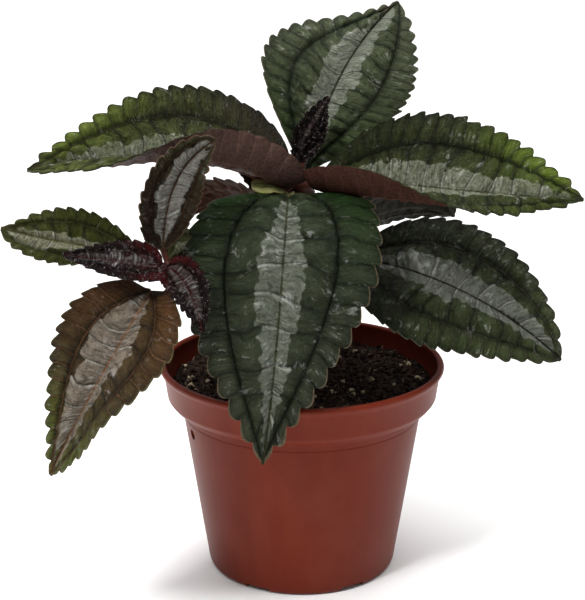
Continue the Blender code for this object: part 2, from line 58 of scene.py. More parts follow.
def add(tree, kind, inputs=None, **settings):
    """Adds a node with its settings. Each input, by name or number, takes a value, an sRGB hex colour or
    what feeds it."""
    node = tree.nodes.new(kind)
    for setting, value in settings.items():
        setattr(node, setting, value)
    for name, value in (inputs or {}).items():
        socket = node.inputs[name] if isinstance(name, int) else next(
            socket for socket in node.inputs if socket.name == name and socket.enabled)
        if isinstance(value, str):
            value = linear(value)
        if isinstance(value, bpy.types.Node):
            value = next(output for output in value.outputs if output.enabled)
        if isinstance(value, bpy.types.NodeSocket):
            tree.links.new(value, socket)
        else:
            socket.default_value = value
    return node


def new_material(name, **surface):
    """A material with a Principled shader, and that shader's sockets set by name, spaces as underscores."""
    material = bpy.data.materials.new(name)
    material.use_nodes = True
    shader = material.node_tree.nodes["Principled BSDF"]
    for socket, value in surface.items():
        shader.inputs[socket.replace("_", " ")].default_value = value
    return material, material.node_tree, shader


def feed(shader, **sources):
    """Links the node that feeds each of the shader's sockets, named with spaces as underscores."""
    for socket, node in sources.items():
        output = next(output for output in node.outputs if output.enabled)
        shader.id_data.links.new(output, shader.inputs[socket.replace("_", " ")])


def show(name, data):
    thing = bpy.data.objects.new(name, data)
    bpy.context.scene.collection.objects.link(thing)
    return thing


FLOOR_HALF_WIDTH = 3.0

# Matte painted board: next to no gloss, and only a trace of mottle from the roller.
board, tree, shader = new_material("matte_painted_board", Roughness=0.9)
mottle = add(tree, "ShaderNodeTexNoise", {"Scale": 9.0, "Detail": 3.0})
shade = add(tree, "ShaderNodeMix", {"Factor": mottle, "A": "#fafaf9", "B": "#ffffff"}, data_type="RGBA")
feed(shader, Base_Color=shade)

floor_mesh = bpy.data.meshes.new("studio_floor")
floor_mesh.from_pydata([(x * FLOOR_HALF_WIDTH, y * FLOOR_HALF_WIDTH, 0) for x, y in
                        ((-1, -1), (1, -1), (1, 1), (-1, 1))], [], [(0, 1, 2, 3)])
floor_mesh.materials.append(board)
show("studio_floor", floor_mesh)

world = bpy.data.worlds.new("photo_tent")
world.use_nodes = True
world.node_tree.nodes["Background"].inputs["Color"].default_value = linear("#ffffff")
world.node_tree.nodes["Background"].inputs["Strength"].default_value = 0.32
bpy.context.scene.world = world
bpy.context.scene.view_settings.view_transform = "Standard"

for name, place, target, size, power in (
        ("soft_box_above", (0.0, 0.5, 2.2), (0, 0.5, 0), 3.0, 82.0),
        ("soft_box_front_left", (-0.45, -0.60, 0.95), (0, 0, 0.10), 0.20, 9.0)):
    light = bpy.data.lights.new(name, "AREA")
    light.size = size
    light.energy = power
    lamp = show(name, light)
    lamp.location = place
    lamp.rotation_euler = (Vector(target) - Vector(place)).to_track_quat("-Z", "Y").to_euler()

# The camera stands half a metre in front and looks down on the plant by 17 degrees, as the photo's did.
camera = show("camera", bpy.data.cameras.new("camera"))
camera.data.lens = 95.64
camera.data.sensor_width = 36.0
camera.location = (-0.0030, -0.4784, 0.23265)
camera.rotation_euler = (math.radians(73.1), 0, 0)
bpy.context.scene.camera = camera


# Pot
# A round nursery pot, injection moulded in one piece from terracotta-brown polypropylene: a flared
# band with a rolled lip, a fine ring line below it, two vents in the wall and six drain slots at the foot.

def run_tree(name, start, tree, **values):
    """An object with the plain mesh that a geometry tree makes of a mesh. Values are its named inputs."""
    thing = show(name, start)
    modifier = thing.modifiers.new("tree", "NODES")
    modifier.node_group = tree
    for item in tree.interface.items_tree:
        if item.name in values:
            modifier[item.identifier] = values[item.name]
    made = bpy.data.meshes.new_from_object(thing.evaluated_get(bpy.context.evaluated_depsgraph_get()))
    thing.modifiers.remove(modifier)
    thing.data = made
    made.name = name
    return thing


def new_tree(name, **inputs):
    """A geometry tree that takes a mesh and these named inputs, each with its socket type."""
    tree = bpy.data.node_groups.new(name, "GeometryNodeTree")
    tree.interface.new_socket("Geometry", in_out="INPUT", socket_type="NodeSocketGeometry")
    for title, kind in inputs.items():
        tree.interface.new_socket(title, in_out="INPUT", socket_type=f"NodeSocket{kind}")
    tree.interface.new_socket("Geometry", in_out="OUTPUT", socket_type="NodeSocketGeometry")
    return tree, add(tree, "NodeGroupInput").outputs


def faces_outwards(mesh):
    body = bmesh.new()
    body.from_mesh(mesh)
    bmesh.ops.remove_doubles(body, verts=body.verts, dist=1e-7)
    bmesh.ops.recalc_face_normals(body, faces=body.faces)
    body.to_mesh(mesh)
    body.free()


def rounded(profile, reach=0.0005, steps=4):
    """The (radius, height) profile with each corner rounded off over this reach on either side."""
    smooth = [profile[0]]
    for before, corner, after in zip(profile, profile[1:], profile[2:]):
        corner, before, after = Vector(corner), Vector(before), Vector(after)
        start = corner + (before - corner) * min(0.45, reach / (before - corner).length)
        end = corner + (after - corner) * min(0.45, reach / (after - corner).length)
        for step in range(steps + 1):
            t = step / steps
            smooth.append(tuple((1 - t)**2 * start + 2 * t * (1 - t) * corner + t**2 * end))
    return smooth + [profile[-1]]


RIM_RADIUS, POT_HEIGHT, LIP_RADIUS = 0.0450, 0.0675, 0.0011
BAND_TOP_RADIUS, BAND_BOTTOM_RADIUS, BAND_HEIGHT = 0.0437, 0.0427, 0.0105
BODY_TOP_RADIUS, BODY_HEIGHT = 0.0381, 0.0535
SHOULDER_STEP, SHOULDER_DROP, CORNER_RELIEF = 0.0014, 0.0018, 0.0006
FOOT_RADIUS, FOOT_ROUNDING = 0.0302, 0.0016
POT_WALL = 0.0012
RING_HEIGHT, RING_DEPTH, RING_HALF_HEIGHT = 0.0515, 0.00012, 0.0004
POT_SEGMENTS = 192
SHOULDER = POT_HEIGHT - BAND_HEIGHT


def bore_profile(gap):
    """The inside of the pot from just above its shoulder down to the middle of its floor, less a gap."""
    return [(BAND_BOTTOM_RADIUS - POT_WALL - gap, SHOULDER + 0.0010),
            (BAND_BOTTOM_RADIUS - POT_WALL - gap - SHOULDER_STEP, SHOULDER - 0.0008),
            (BODY_TOP_RADIUS - POT_WALL - gap, BODY_HEIGHT),
            (FOOT_RADIUS - POT_WALL - gap, POT_WALL + gap),
            (0, POT_WALL + gap)]


# The lip's arc goes from the inner wall over the top and round to the outside of the band.
lip = [(RIM_RADIUS - LIP_RADIUS + LIP_RADIUS * math.cos(angle),
        POT_HEIGHT - LIP_RADIUS + LIP_RADIUS * math.sin(angle))
       for angle in np.radians(np.linspace(200, -60, 14))]
taper = (BODY_TOP_RADIUS - FOOT_RADIUS) / (BODY_HEIGHT - FOOT_ROUNDING)
ring = FOOT_RADIUS + taper * (RING_HEIGHT - FOOT_ROUNDING)
outside = [(BAND_TOP_RADIUS, POT_HEIGHT - 3 * LIP_RADIUS), (BAND_BOTTOM_RADIUS, SHOULDER),
           (BAND_BOTTOM_RADIUS - SHOULDER_STEP, SHOULDER - SHOULDER_DROP),
           (BODY_TOP_RADIUS + CORNER_RELIEF, BODY_HEIGHT + CORNER_RELIEF), (BODY_TOP_RADIUS, BODY_HEIGHT),
           (ring, RING_HEIGHT + RING_HALF_HEIGHT), (ring - RING_DEPTH, RING_HEIGHT),
           (ring, RING_HEIGHT - RING_HALF_HEIGHT), (FOOT_RADIUS, FOOT_ROUNDING),
           (FOOT_RADIUS - 0.3 * FOOT_ROUNDING, 0.0005), (FOOT_RADIUS - FOOT_ROUNDING, 0), (0, 0)]
pot_profile = rounded(bore_profile(0)[::-1])[:-1] + lip + rounded(outside)
profile_mesh = bpy.data.meshes.new("pot_profile")
profile_mesh.from_pydata([(radius, 0, height) for radius, height in pot_profile], [], [])

STREAK_MM, HAZE_MM, GRAIN_MM = (3.846, 3.846, 71.43), 22.22, 0.3846

# Injection-moulded polypropylene: soft satin sheen, even colour with faint flow streaks down the wall,
# and the fine haze of handling, which lightens it in patches.
plastic, tree, shader = new_material(
    "moulded_polypropylene", Roughness=0.42, IOR=1.49, Specular_IOR_Level=0.12, Subsurface_Weight=0.04,
    Subsurface_Scale=0.002)
place = add(tree, "ShaderNodeTexCoord").outputs["Object"]
streak_place = add(tree, "ShaderNodeMapping", {"Vector": place, "Scale": [1000 / mm for mm in STREAK_MM]})
streaks = add(tree, "ShaderNodeTexNoise", {"Vector": streak_place, "Scale": 1.0, "Detail": 4.0})
haze = add(tree, "ShaderNodeTexNoise", {"Vector": place, "Scale": 1000 / HAZE_MM, "Detail": 5.0,
                                        "Roughness": 0.6})
streaked = add(tree, "ShaderNodeMix", {"Factor": streaks, "A": "#5e1d0f", "B": "#6a2511"}, data_type="RGBA")
haze_amount = add(tree, "ShaderNodeMapRange", {"Value": haze, "From Min": 0.45, "From Max": 0.8,
                                               "To Max": 0.22})
hazed = add(tree, "ShaderNodeMix", {"Factor": haze_amount, "A": streaked, "B": "#8c4c3a"}, data_type="RGBA")
grain = add(tree, "ShaderNodeTexNoise", {"Vector": place, "Scale": 1000 / GRAIN_MM, "Detail": 2.0})
grain_bump = add(tree, "ShaderNodeBump", {"Height": grain, "Strength": 0.06, "Distance": 0.0002})
feed(shader, Base_Color=hazed, Normal=grain_bump)

pot_tree, given = new_tree("turned_pot", Segments="Int", Material="Material")
turns = add(pot_tree, "ShaderNodeMath", {0: given["Segments"], 1: 1}, operation="ADD")
points = add(pot_tree, "GeometryNodeAttributeDomainSize", {"Geometry": given["Geometry"]})
sheet = add(pot_tree, "GeometryNodeMeshGrid", {"Vertices X": points, "Vertices Y": turns})
index = add(pot_tree, "GeometryNodeInputIndex")
row = add(pot_tree, "ShaderNodeMath", {0: index, 1: turns}, operation="DIVIDE")
row_number = add(pot_tree, "ShaderNodeMath", {0: row}, operation="FLOOR")
around = add(pot_tree, "ShaderNodeMath", {0: index, 1: turns}, operation="MODULO")
part_turn = add(pot_tree, "ShaderNodeMath", {0: around, 1: given["Segments"]}, operation="DIVIDE")
angle = add(pot_tree, "ShaderNodeMath", {0: part_turn, 1: math.tau}, operation="MULTIPLY")
profile_point = add(pot_tree, "GeometryNodeSampleIndex", {
    "Geometry": given["Geometry"], "Value": add(pot_tree, "GeometryNodeInputPosition"), "Index": row_number},
    data_type="FLOAT_VECTOR")
turn_angle = add(pot_tree, "ShaderNodeCombineXYZ", {"Z": angle})
spot = add(pot_tree, "ShaderNodeVectorRotate", {"Vector": profile_point, "Rotation": turn_angle},
           rotation_type="EULER_XYZ")
shell = add(pot_tree, "GeometryNodeSetPosition", {"Geometry": sheet, "Position": spot})
closed = add(pot_tree, "GeometryNodeMergeByDistance", {"Geometry": shell, "Distance": 1e-6})
smooth = add(pot_tree, "GeometryNodeSetShadeSmooth", {"Geometry": closed})
painted = add(pot_tree, "GeometryNodeSetMaterial", {"Geometry": smooth, "Material": given["Material"]})
add(pot_tree, "NodeGroupOutput", {"Geometry": painted})
pot = run_tree("nursery_pot", profile_mesh, pot_tree, Segments=POT_SEGMENTS, Material=plastic)
faces_outwards(pot.data)


def pierce(thing, count, first_angle, radius, height, size, sides):
    """Cuts a ring of holes through the wall. Their size is radial, across and up. A hole of four sides is
    turned so that it lies flat."""
    cutter = bmesh.new()
    for number in range(count):
        made = bmesh.ops.create_cone(cutter, cap_ends=True, segments=sides, radius1=0.5, radius2=0.5, depth=1)
        turn = first_angle + number * math.tau / count
        for vertex in made["verts"]:
            spot = Vector(vertex.co)
            if sides == 4:
                spot = Vector(((spot.x - spot.y), (spot.x + spot.y), spot.z))
            spot = Vector((spot.z * size[0] + radius, spot.y * size[1], spot.x * size[2] + height))
            vertex.co = Euler((0, 0, turn)).to_matrix() @ spot
    bmesh.ops.recalc_face_normals(cutter, faces=cutter.faces)
    mesh = bpy.data.meshes.new("cutter")
    cutter.to_mesh(mesh)
    cutter.free()
    for material in thing.data.materials:
        mesh.materials.append(material)
    mesh.polygons.foreach_set("material_index", [len(mesh.materials) - 1] * len(mesh.polygons))
    bars = show("cutter", mesh)
    boolean = thing.modifiers.new("pierce", "BOOLEAN")
    boolean.operation = "DIFFERENCE"
    boolean.solver = "EXACT"
    boolean.object = bars
    thing.data = bpy.data.meshes.new_from_object(thing.evaluated_get(bpy.context.evaluated_depsgraph_get()))
    thing.modifiers.remove(boolean)
    bpy.data.objects.remove(bars)


VENT_COUNT, VENT_ANGLE, VENT_HEIGHT, VENT_SIZE = 2, 204, 0.0480, (6 * POT_WALL, 0.0032, 0.0034)
DRAIN_COUNT, DRAIN_ANGLE, DRAIN_SIZE = 6, -58, (0.0070, 0.0080, 0.0030)
vent_radius = FOOT_RADIUS + taper * VENT_HEIGHT
pierce(pot, VENT_COUNT, math.radians(VENT_ANGLE), vent_radius, VENT_HEIGHT, VENT_SIZE, sides=24)
pierce(pot, DRAIN_COUNT, math.radians(DRAIN_ANGLE), FOOT_RADIUS, 0, DRAIN_SIZE, sides=4)
pot.data.set_sharp_from_angle(angle=math.radians(40))
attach(pot, "root")
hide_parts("pot")


# Potting mix
# Dark peat and bark crumbs pressed into the pot to a few millimetres under the lip, with pale perlite
# and slivers of wood in it. The crumbs are loose pieces scattered over a lumpy body.

SOIL_LEVEL = 0.0605
SOIL_RELIEF, SOIL_RELIEF_LENGTH = 0.0016, 0.009
CLOD_RELIEF, CLOD_LENGTH = 0.0007, 0.0026
CRUMB_MM, CRUMB_LAYER = 2.381, 0.003
SOIL_RINGS, SOIL_SEGMENTS = 44, 150
FIT_GAP = 0.0003


def soil_height(x, y):
    coarse = noise.noise(Vector((x, y, 0)) / SOIL_RELIEF_LENGTH)
    fine = noise.fractal(Vector((x, y, 3)) / CLOD_LENGTH, 0.8, 2.1, 4)
    return SOIL_LEVEL + SOIL_RELIEF * coarse + CLOD_RELIEF * fine


# Peat and bark mix: near black where damp, brown where dry, with hardly any gloss.
peat, tree, shader = new_material("peat_and_bark_mix", Roughness=0.8, Specular_IOR_Level=0.12)
place = add(tree, "ShaderNodeTexCoord").outputs["Object"]
clods = add(tree, "ShaderNodeTexNoise", {"Vector": place, "Scale": 1000 / CRUMB_MM, "Detail": 6.0,
                                         "Roughness": 0.65})
peat_colour = add(tree, "ShaderNodeValToRGB", {"Fac": clods})
peat_colour.color_ramp.elements[0].position = 0.35
peat_colour.color_ramp.elements[0].color = linear("#0d0a09")
peat_colour.color_ramp.elements[1].position = 0.72
peat_colour.color_ramp.elements[1].color = linear("#3d2b20")
rough = add(tree, "ShaderNodeBump", {"Height": clods, "Strength": 0.6, "Distance": 0.0006})
feed(shader, Base_Color=peat_colour, Normal=rough)

soil_bore = bore_profile(FIT_GAP)
edge = soil_bore[0][0]
rings = [(edge * ring / SOIL_RINGS, SOIL_LEVEL, True) for ring in range(SOIL_RINGS + 1)]
rings += [(radius, height, False) for radius, height in soil_bore]
spots = []
for radius, height, on_top in rings:
    for step in range(SOIL_SEGMENTS):
        x = radius * math.cos(math.tau * step / SOIL_SEGMENTS)
        y = radius * math.sin(math.tau * step / SOIL_SEGMENTS)
        spots.append((x, y, soil_height(x, y) if on_top else height))
quads = []
for start in range(0, (len(rings) - 1) * SOIL_SEGMENTS, SOIL_SEGMENTS):
    for step in range(SOIL_SEGMENTS):
        here, beside = start + step, start + (step + 1) % SOIL_SEGMENTS
        quads.append((here, here + SOIL_SEGMENTS, beside + SOIL_SEGMENTS, beside))
soil_mesh = bpy.data.meshes.new("potting_mix")
soil_mesh.from_pydata(spots, [], quads)
soil_mesh.materials.append(peat)
faces_outwards(soil_mesh)
soil = show("potting_mix", soil_mesh)
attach(soil, "root")
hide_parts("soil")

# The crumbs: scattered over the top of the mix, each a small faceted lump of its own size and turn.
crumb_tree, given = new_tree("scattered_crumbs", Density="Float", Smallest="Float", Largest="Float",
                             Stretch="Vector", Seed="Int", Material="Material")
height = add(crumb_tree, "ShaderNodeSeparateXYZ", {"Vector": add(crumb_tree, "GeometryNodeInputPosition")})
upper = add(crumb_tree, "FunctionNodeCompare", {"A": height.outputs["Z"], "B": SOIL_LEVEL - CRUMB_LAYER},
            operation="GREATER_THAN")
scatter = add(crumb_tree, "GeometryNodeDistributePointsOnFaces", {
    "Mesh": given["Geometry"], "Selection": upper, "Density": given["Density"], "Seed": given["Seed"]})
lump = add(crumb_tree, "GeometryNodeMeshIcoSphere", {"Radius": 0.5, "Subdivisions": 1})
dent = add(crumb_tree, "ShaderNodeTexNoise", {"Scale": 1.7, "Detail": 1.0})
push = add(crumb_tree, "ShaderNodeVectorMath", {0: dent.outputs["Color"], 1: (0.5, 0.5, 0.5)},
           operation="SUBTRACT")
dented = add(crumb_tree, "GeometryNodeSetPosition", {"Geometry": lump, "Offset": push})
size = add(crumb_tree, "FunctionNodeRandomValue", {"Min": given["Smallest"], "Max": given["Largest"],
                                                   "Seed": given["Seed"]}, data_type="FLOAT")
stretched = add(crumb_tree, "ShaderNodeVectorMath", {"Vector": given["Stretch"], "Scale": size},
                operation="SCALE")
turn = add(crumb_tree, "FunctionNodeRandomValue", {"Max": (math.tau, math.tau, math.tau),
                                                   "Seed": given["Seed"]}, data_type="FLOAT_VECTOR")
laid = add(crumb_tree, "GeometryNodeInstanceOnPoints", {
    "Points": scatter.outputs["Points"], "Instance": dented, "Rotation": turn, "Scale": stretched})
real = add(crumb_tree, "GeometryNodeRealizeInstances", {"Geometry": laid})
painted = add(crumb_tree, "GeometryNodeSetMaterial", {"Geometry": real, "Material": given["Material"]})
add(crumb_tree, "NodeGroupOutput", {"Geometry": painted})


def two_toned(name, feature_mm, detail, dark, light, **surface):
    """A material whose colour wanders between two, over features of this size."""
    material, tree, shader = new_material(name, **surface)
    tone = add(tree, "ShaderNodeTexNoise", {"Vector": add(tree, "ShaderNodeTexCoord").outputs["Object"],
                                            "Scale": 1000 / feature_mm, "Detail": detail})
    shade = add(tree, "ShaderNodeMix", {"Factor": tone, "A": dark, "B": light}, data_type="RGBA")
    feed(shader, Base_Color=shade)
    return material


# Perlite is puffed volcanic glass, chalky and pale; dusted with peat here, so never white.
perlite = two_toned("dusted_perlite", 1.111, 3.0, "#7d6a52", "#c9bb9c", Roughness=0.85)

# Bark and root slivers: dry brown wood, matte, a little lighter than the peat round them.
sliver = two_toned("bark_slivers", 4.167, 4.0, "#1d1512", "#8a745c", Roughness=0.8)

for name, density, smallest, largest, stretch, seed, material in (
        ("soil_crumbs", 420000, 0.0006, 0.0026, (1, 0.8, 0.7), 3, peat),
        ("soil_perlite", 16000, 0.0005, 0.0026, (1, 0.8, 0.8), 11, perlite),
        ("soil_chips", 1500, 0.0022, 0.0042, (1, 0.6, 0.45), 21, perlite),
        ("soil_slivers", 40000, 0.0012, 0.0050, (1, 0.16, 0.12), 5, sliver)):
    bits = run_tree(name, soil_mesh.copy(), crumb_tree, Density=density, Smallest=smallest, Largest=largest,
                    Stretch=stretch, Seed=seed, Material=material)
    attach(bits, "root")


# Stems
# Fleshy round stems, reddish brown, that stand in the mix and swell at each node, where a pair of leaves
# grows. The side shoot has its own thin stem, which leans to the left and the front.

def points_along(handles, shares):
    """Points of a cubic Bezier curve at these shares of its length."""
    t = np.linspace(0, 1, 200)[:, None]
    first, second, third, last = (np.array(handle) for handle in handles)
    fine = (1 - t)**3 * first + 3 * (1 - t)**2 * t * second + 3 * (1 - t) * t**2 * third + t**3 * last
    run = np.concatenate(([0], np.cumsum(np.linalg.norm(np.diff(fine, axis=0), axis=1))))
    return np.stack([np.interp(np.array(shares) * run[-1], run, fine[:, axis]) for axis in range(3)], axis=1)


def unit(vectors):
    return vectors / np.linalg.norm(vectors, axis=-1, keepdims=True)


def tube(path, radii, sides):
    """The corners and faces of a round tube with closed ends along a path."""
    ahead = unit(np.gradient(np.array(path), axis=0))
    across = np.cross(ahead[0], (0.3, 0.5, 0.8))
    corners = []
    for point, forward, radius in zip(path, ahead, radii):
        across = unit(across - across.dot(forward) * forward)
        beside = np.cross(forward, across)
        for turn in np.linspace(0, math.tau, sides, endpoint=False):
            corners.append(point + radius * (math.cos(turn) * across + math.sin(turn) * beside))
    last = (len(path) - 1) * sides
    faces = [(ring * sides + side, ring * sides + (side + 1) % sides,
              (ring + 1) * sides + (side + 1) % sides, (ring + 1) * sides + side)
             for ring in range(len(path) - 1) for side in range(sides)]
    return corners, faces + [tuple(range(sides))[::-1], tuple(range(last, last + sides))]


STEM_BURIED = 0.014
NODE_SHARE = 0.02

# Each axis is a Bezier curve. The nodes are shares of its length, each with how much the stem swells there.
STEMS = {
    "stem_main": {
        "axis": ((0.002, 0.004, SOIL_LEVEL - STEM_BURIED), (0.002, 0.004, 0.075),
                 (-0.001, 0.001, 0.100), (0.0, 0.0, 0.1285)),
        "radii": (0.0026, 0.0019),
        "nodes": {0.45: 0.25, 0.60: 0.25, 0.66: 0.25, 0.84: 0.25, 0.88: 0.6, 0.92: 1.2, 0.955: 1.3},
    },
    "stem_side": {
        "axis": ((-0.008, -0.008, SOIL_LEVEL - STEM_BURIED), (-0.008, -0.008, 0.074),
                 (-0.034, -0.029, 0.086), (-0.0405, -0.0390, 0.1095)),
        "radii": (0.0021, 0.0013),
        "nodes": {0.86: 0.25, 0.90: 0.25, 0.93: 0.25, 0.975: 0.25},
    },
}

# Young plant stem: translucent red-brown skin over watery tissue, freckled, with a soft sheen.
stem_skin = two_toned("fleshy_stem_skin", 1.429, 3.0, "#301612", "#4e261b", Roughness=0.5,
                      Specular_IOR_Level=0.15, Subsurface_Weight=0.1, Subsurface_Scale=0.001)


def stem_radius(stem, share):
    foot, tip = stem["radii"]
    swelling = max(size * math.exp(-((share - node) / NODE_SHARE)**2) for node, size in stem["nodes"].items())
    return (foot + (tip - foot) * share) * (1 + swelling)


for name, stem in STEMS.items():
    shares = np.linspace(0, 1, 80)
    radii = [stem_radius(stem, share) for share in shares]
    corners, faces = tube(points_along(stem["axis"], shares), radii, sides=20)
    stem_mesh = bpy.data.meshes.new(name)
    stem_mesh.from_pydata(corners, [], faces)
    stem_mesh.shade_smooth()
    stem_mesh.materials.append(stem_skin)
    piece = show(name + "_skin", stem_mesh)
    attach(piece, "root")
    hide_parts(name)


# Crown leaves
# Two crossed pairs of large leaves at the top of the main stem: quilted blades with a toothed margin,
# three sunken main veins and a silver band along the midrib, each on a short stalk that runs on under
# the blade as its keel.

BLADE_THICKNESS = 0.0007
MARGIN_THICKNESS = 0.00045
BLADE_END_HALF_WIDTH = 0.0005
TOOTH_DEPTH, TOOTH_SIZES = 0.0014, (0.75, 1.2)
TOOTH_LEAN, TOOTH_ROUNDING, TOOTH_SWEEP = 1.8, 0.5, 0.5
TOOTHLESS_BASE, TOOTHLESS_TIP = 0.12, 0.06
LOBE_SHARE, LOBE_ROOT_SHARE = 0.3, 0.03
WAVE_COUNT = 14
SIDE_VEIN, SIDE_VEIN_BASE, SIDE_VEIN_SPREAD = 0.60, 0.02, 0.12
VEIN_WANDER, WANDER_WAVES_MM = 0.25, (12, 34)
CELL_SLANT, INNER_CELLS = 2.2, 0.6
PILLOW_HEIGHTS, PILLOW_ROUNDING = (0.2, 1.5), (0.8, 0.7)
RELIEF_HALF_WIDTH = 0.022
PUFF_HEIGHT, PLEAT_HEIGHT = 0.0010, 0.0004
BLISTER_WAVES_MM = (2.2, 7)
SIDE_GROOVE_DEPTH, SIDE_GROOVE_MM = 0.00035, 0.55
RIB_GROOVE_DEPTH, RIB_GROOVE_MM = 0.00030, 0.5
SILVER_RISE, SILVER_END, SILVER_FADE_MM = 0.25, 0.94, 40
SILVER_LEAST, SILVER_MOST = (0.7, -1.2), (1.2, 1.4)
SILVER_EDGE_MM, SILVER_WAVES_MM, SILVER_RIB_MM = 0.55, (2.5, 7), 0.6
STALK_RADIUS, STALK_ROOT, STALK_START = 0.0011, 0.0012, 0.8
STALK_RINGS, KEEL_RINGS = 10, 14
KEEL_SHARE, KEEL_END_RADIUS, KEEL_SINK = 0.3, 0.0004, 0.0006


def blade_frame(leaf, shares):
    """The midrib's points at these shares, and its directions along, across and up from the upper face."""
    rib = points_along(leaf["rib"], shares)
    along = unit(np.gradient(rib, shares, axis=0))
    at_base, at_tip = (unit(np.array(face, float)) for face in leaf["faces"])
    share = np.array(shares)[:, None]
    up = at_base * (1 - share) + at_tip * share
    up = unit(up - (up * along).sum(axis=1, keepdims=True) * along)
    return rib, along, np.cross(along, up), up


def ripple(draw, along_mm, across_mm, shortest, longest):
    """A smooth random field over a blade, mostly from -1 to 1, of waves between two lengths in mm."""
    field = 0
    for _ in range(WAVE_COUNT):
        heading, start = draw.uniform(0, math.tau, 2)
        run = math.cos(heading) * along_mm + math.sin(heading) * across_mm
        field = field + np.sin(math.tau * run / draw.uniform(shortest, longest) + start)
    return field / WAVE_COUNT**0.5


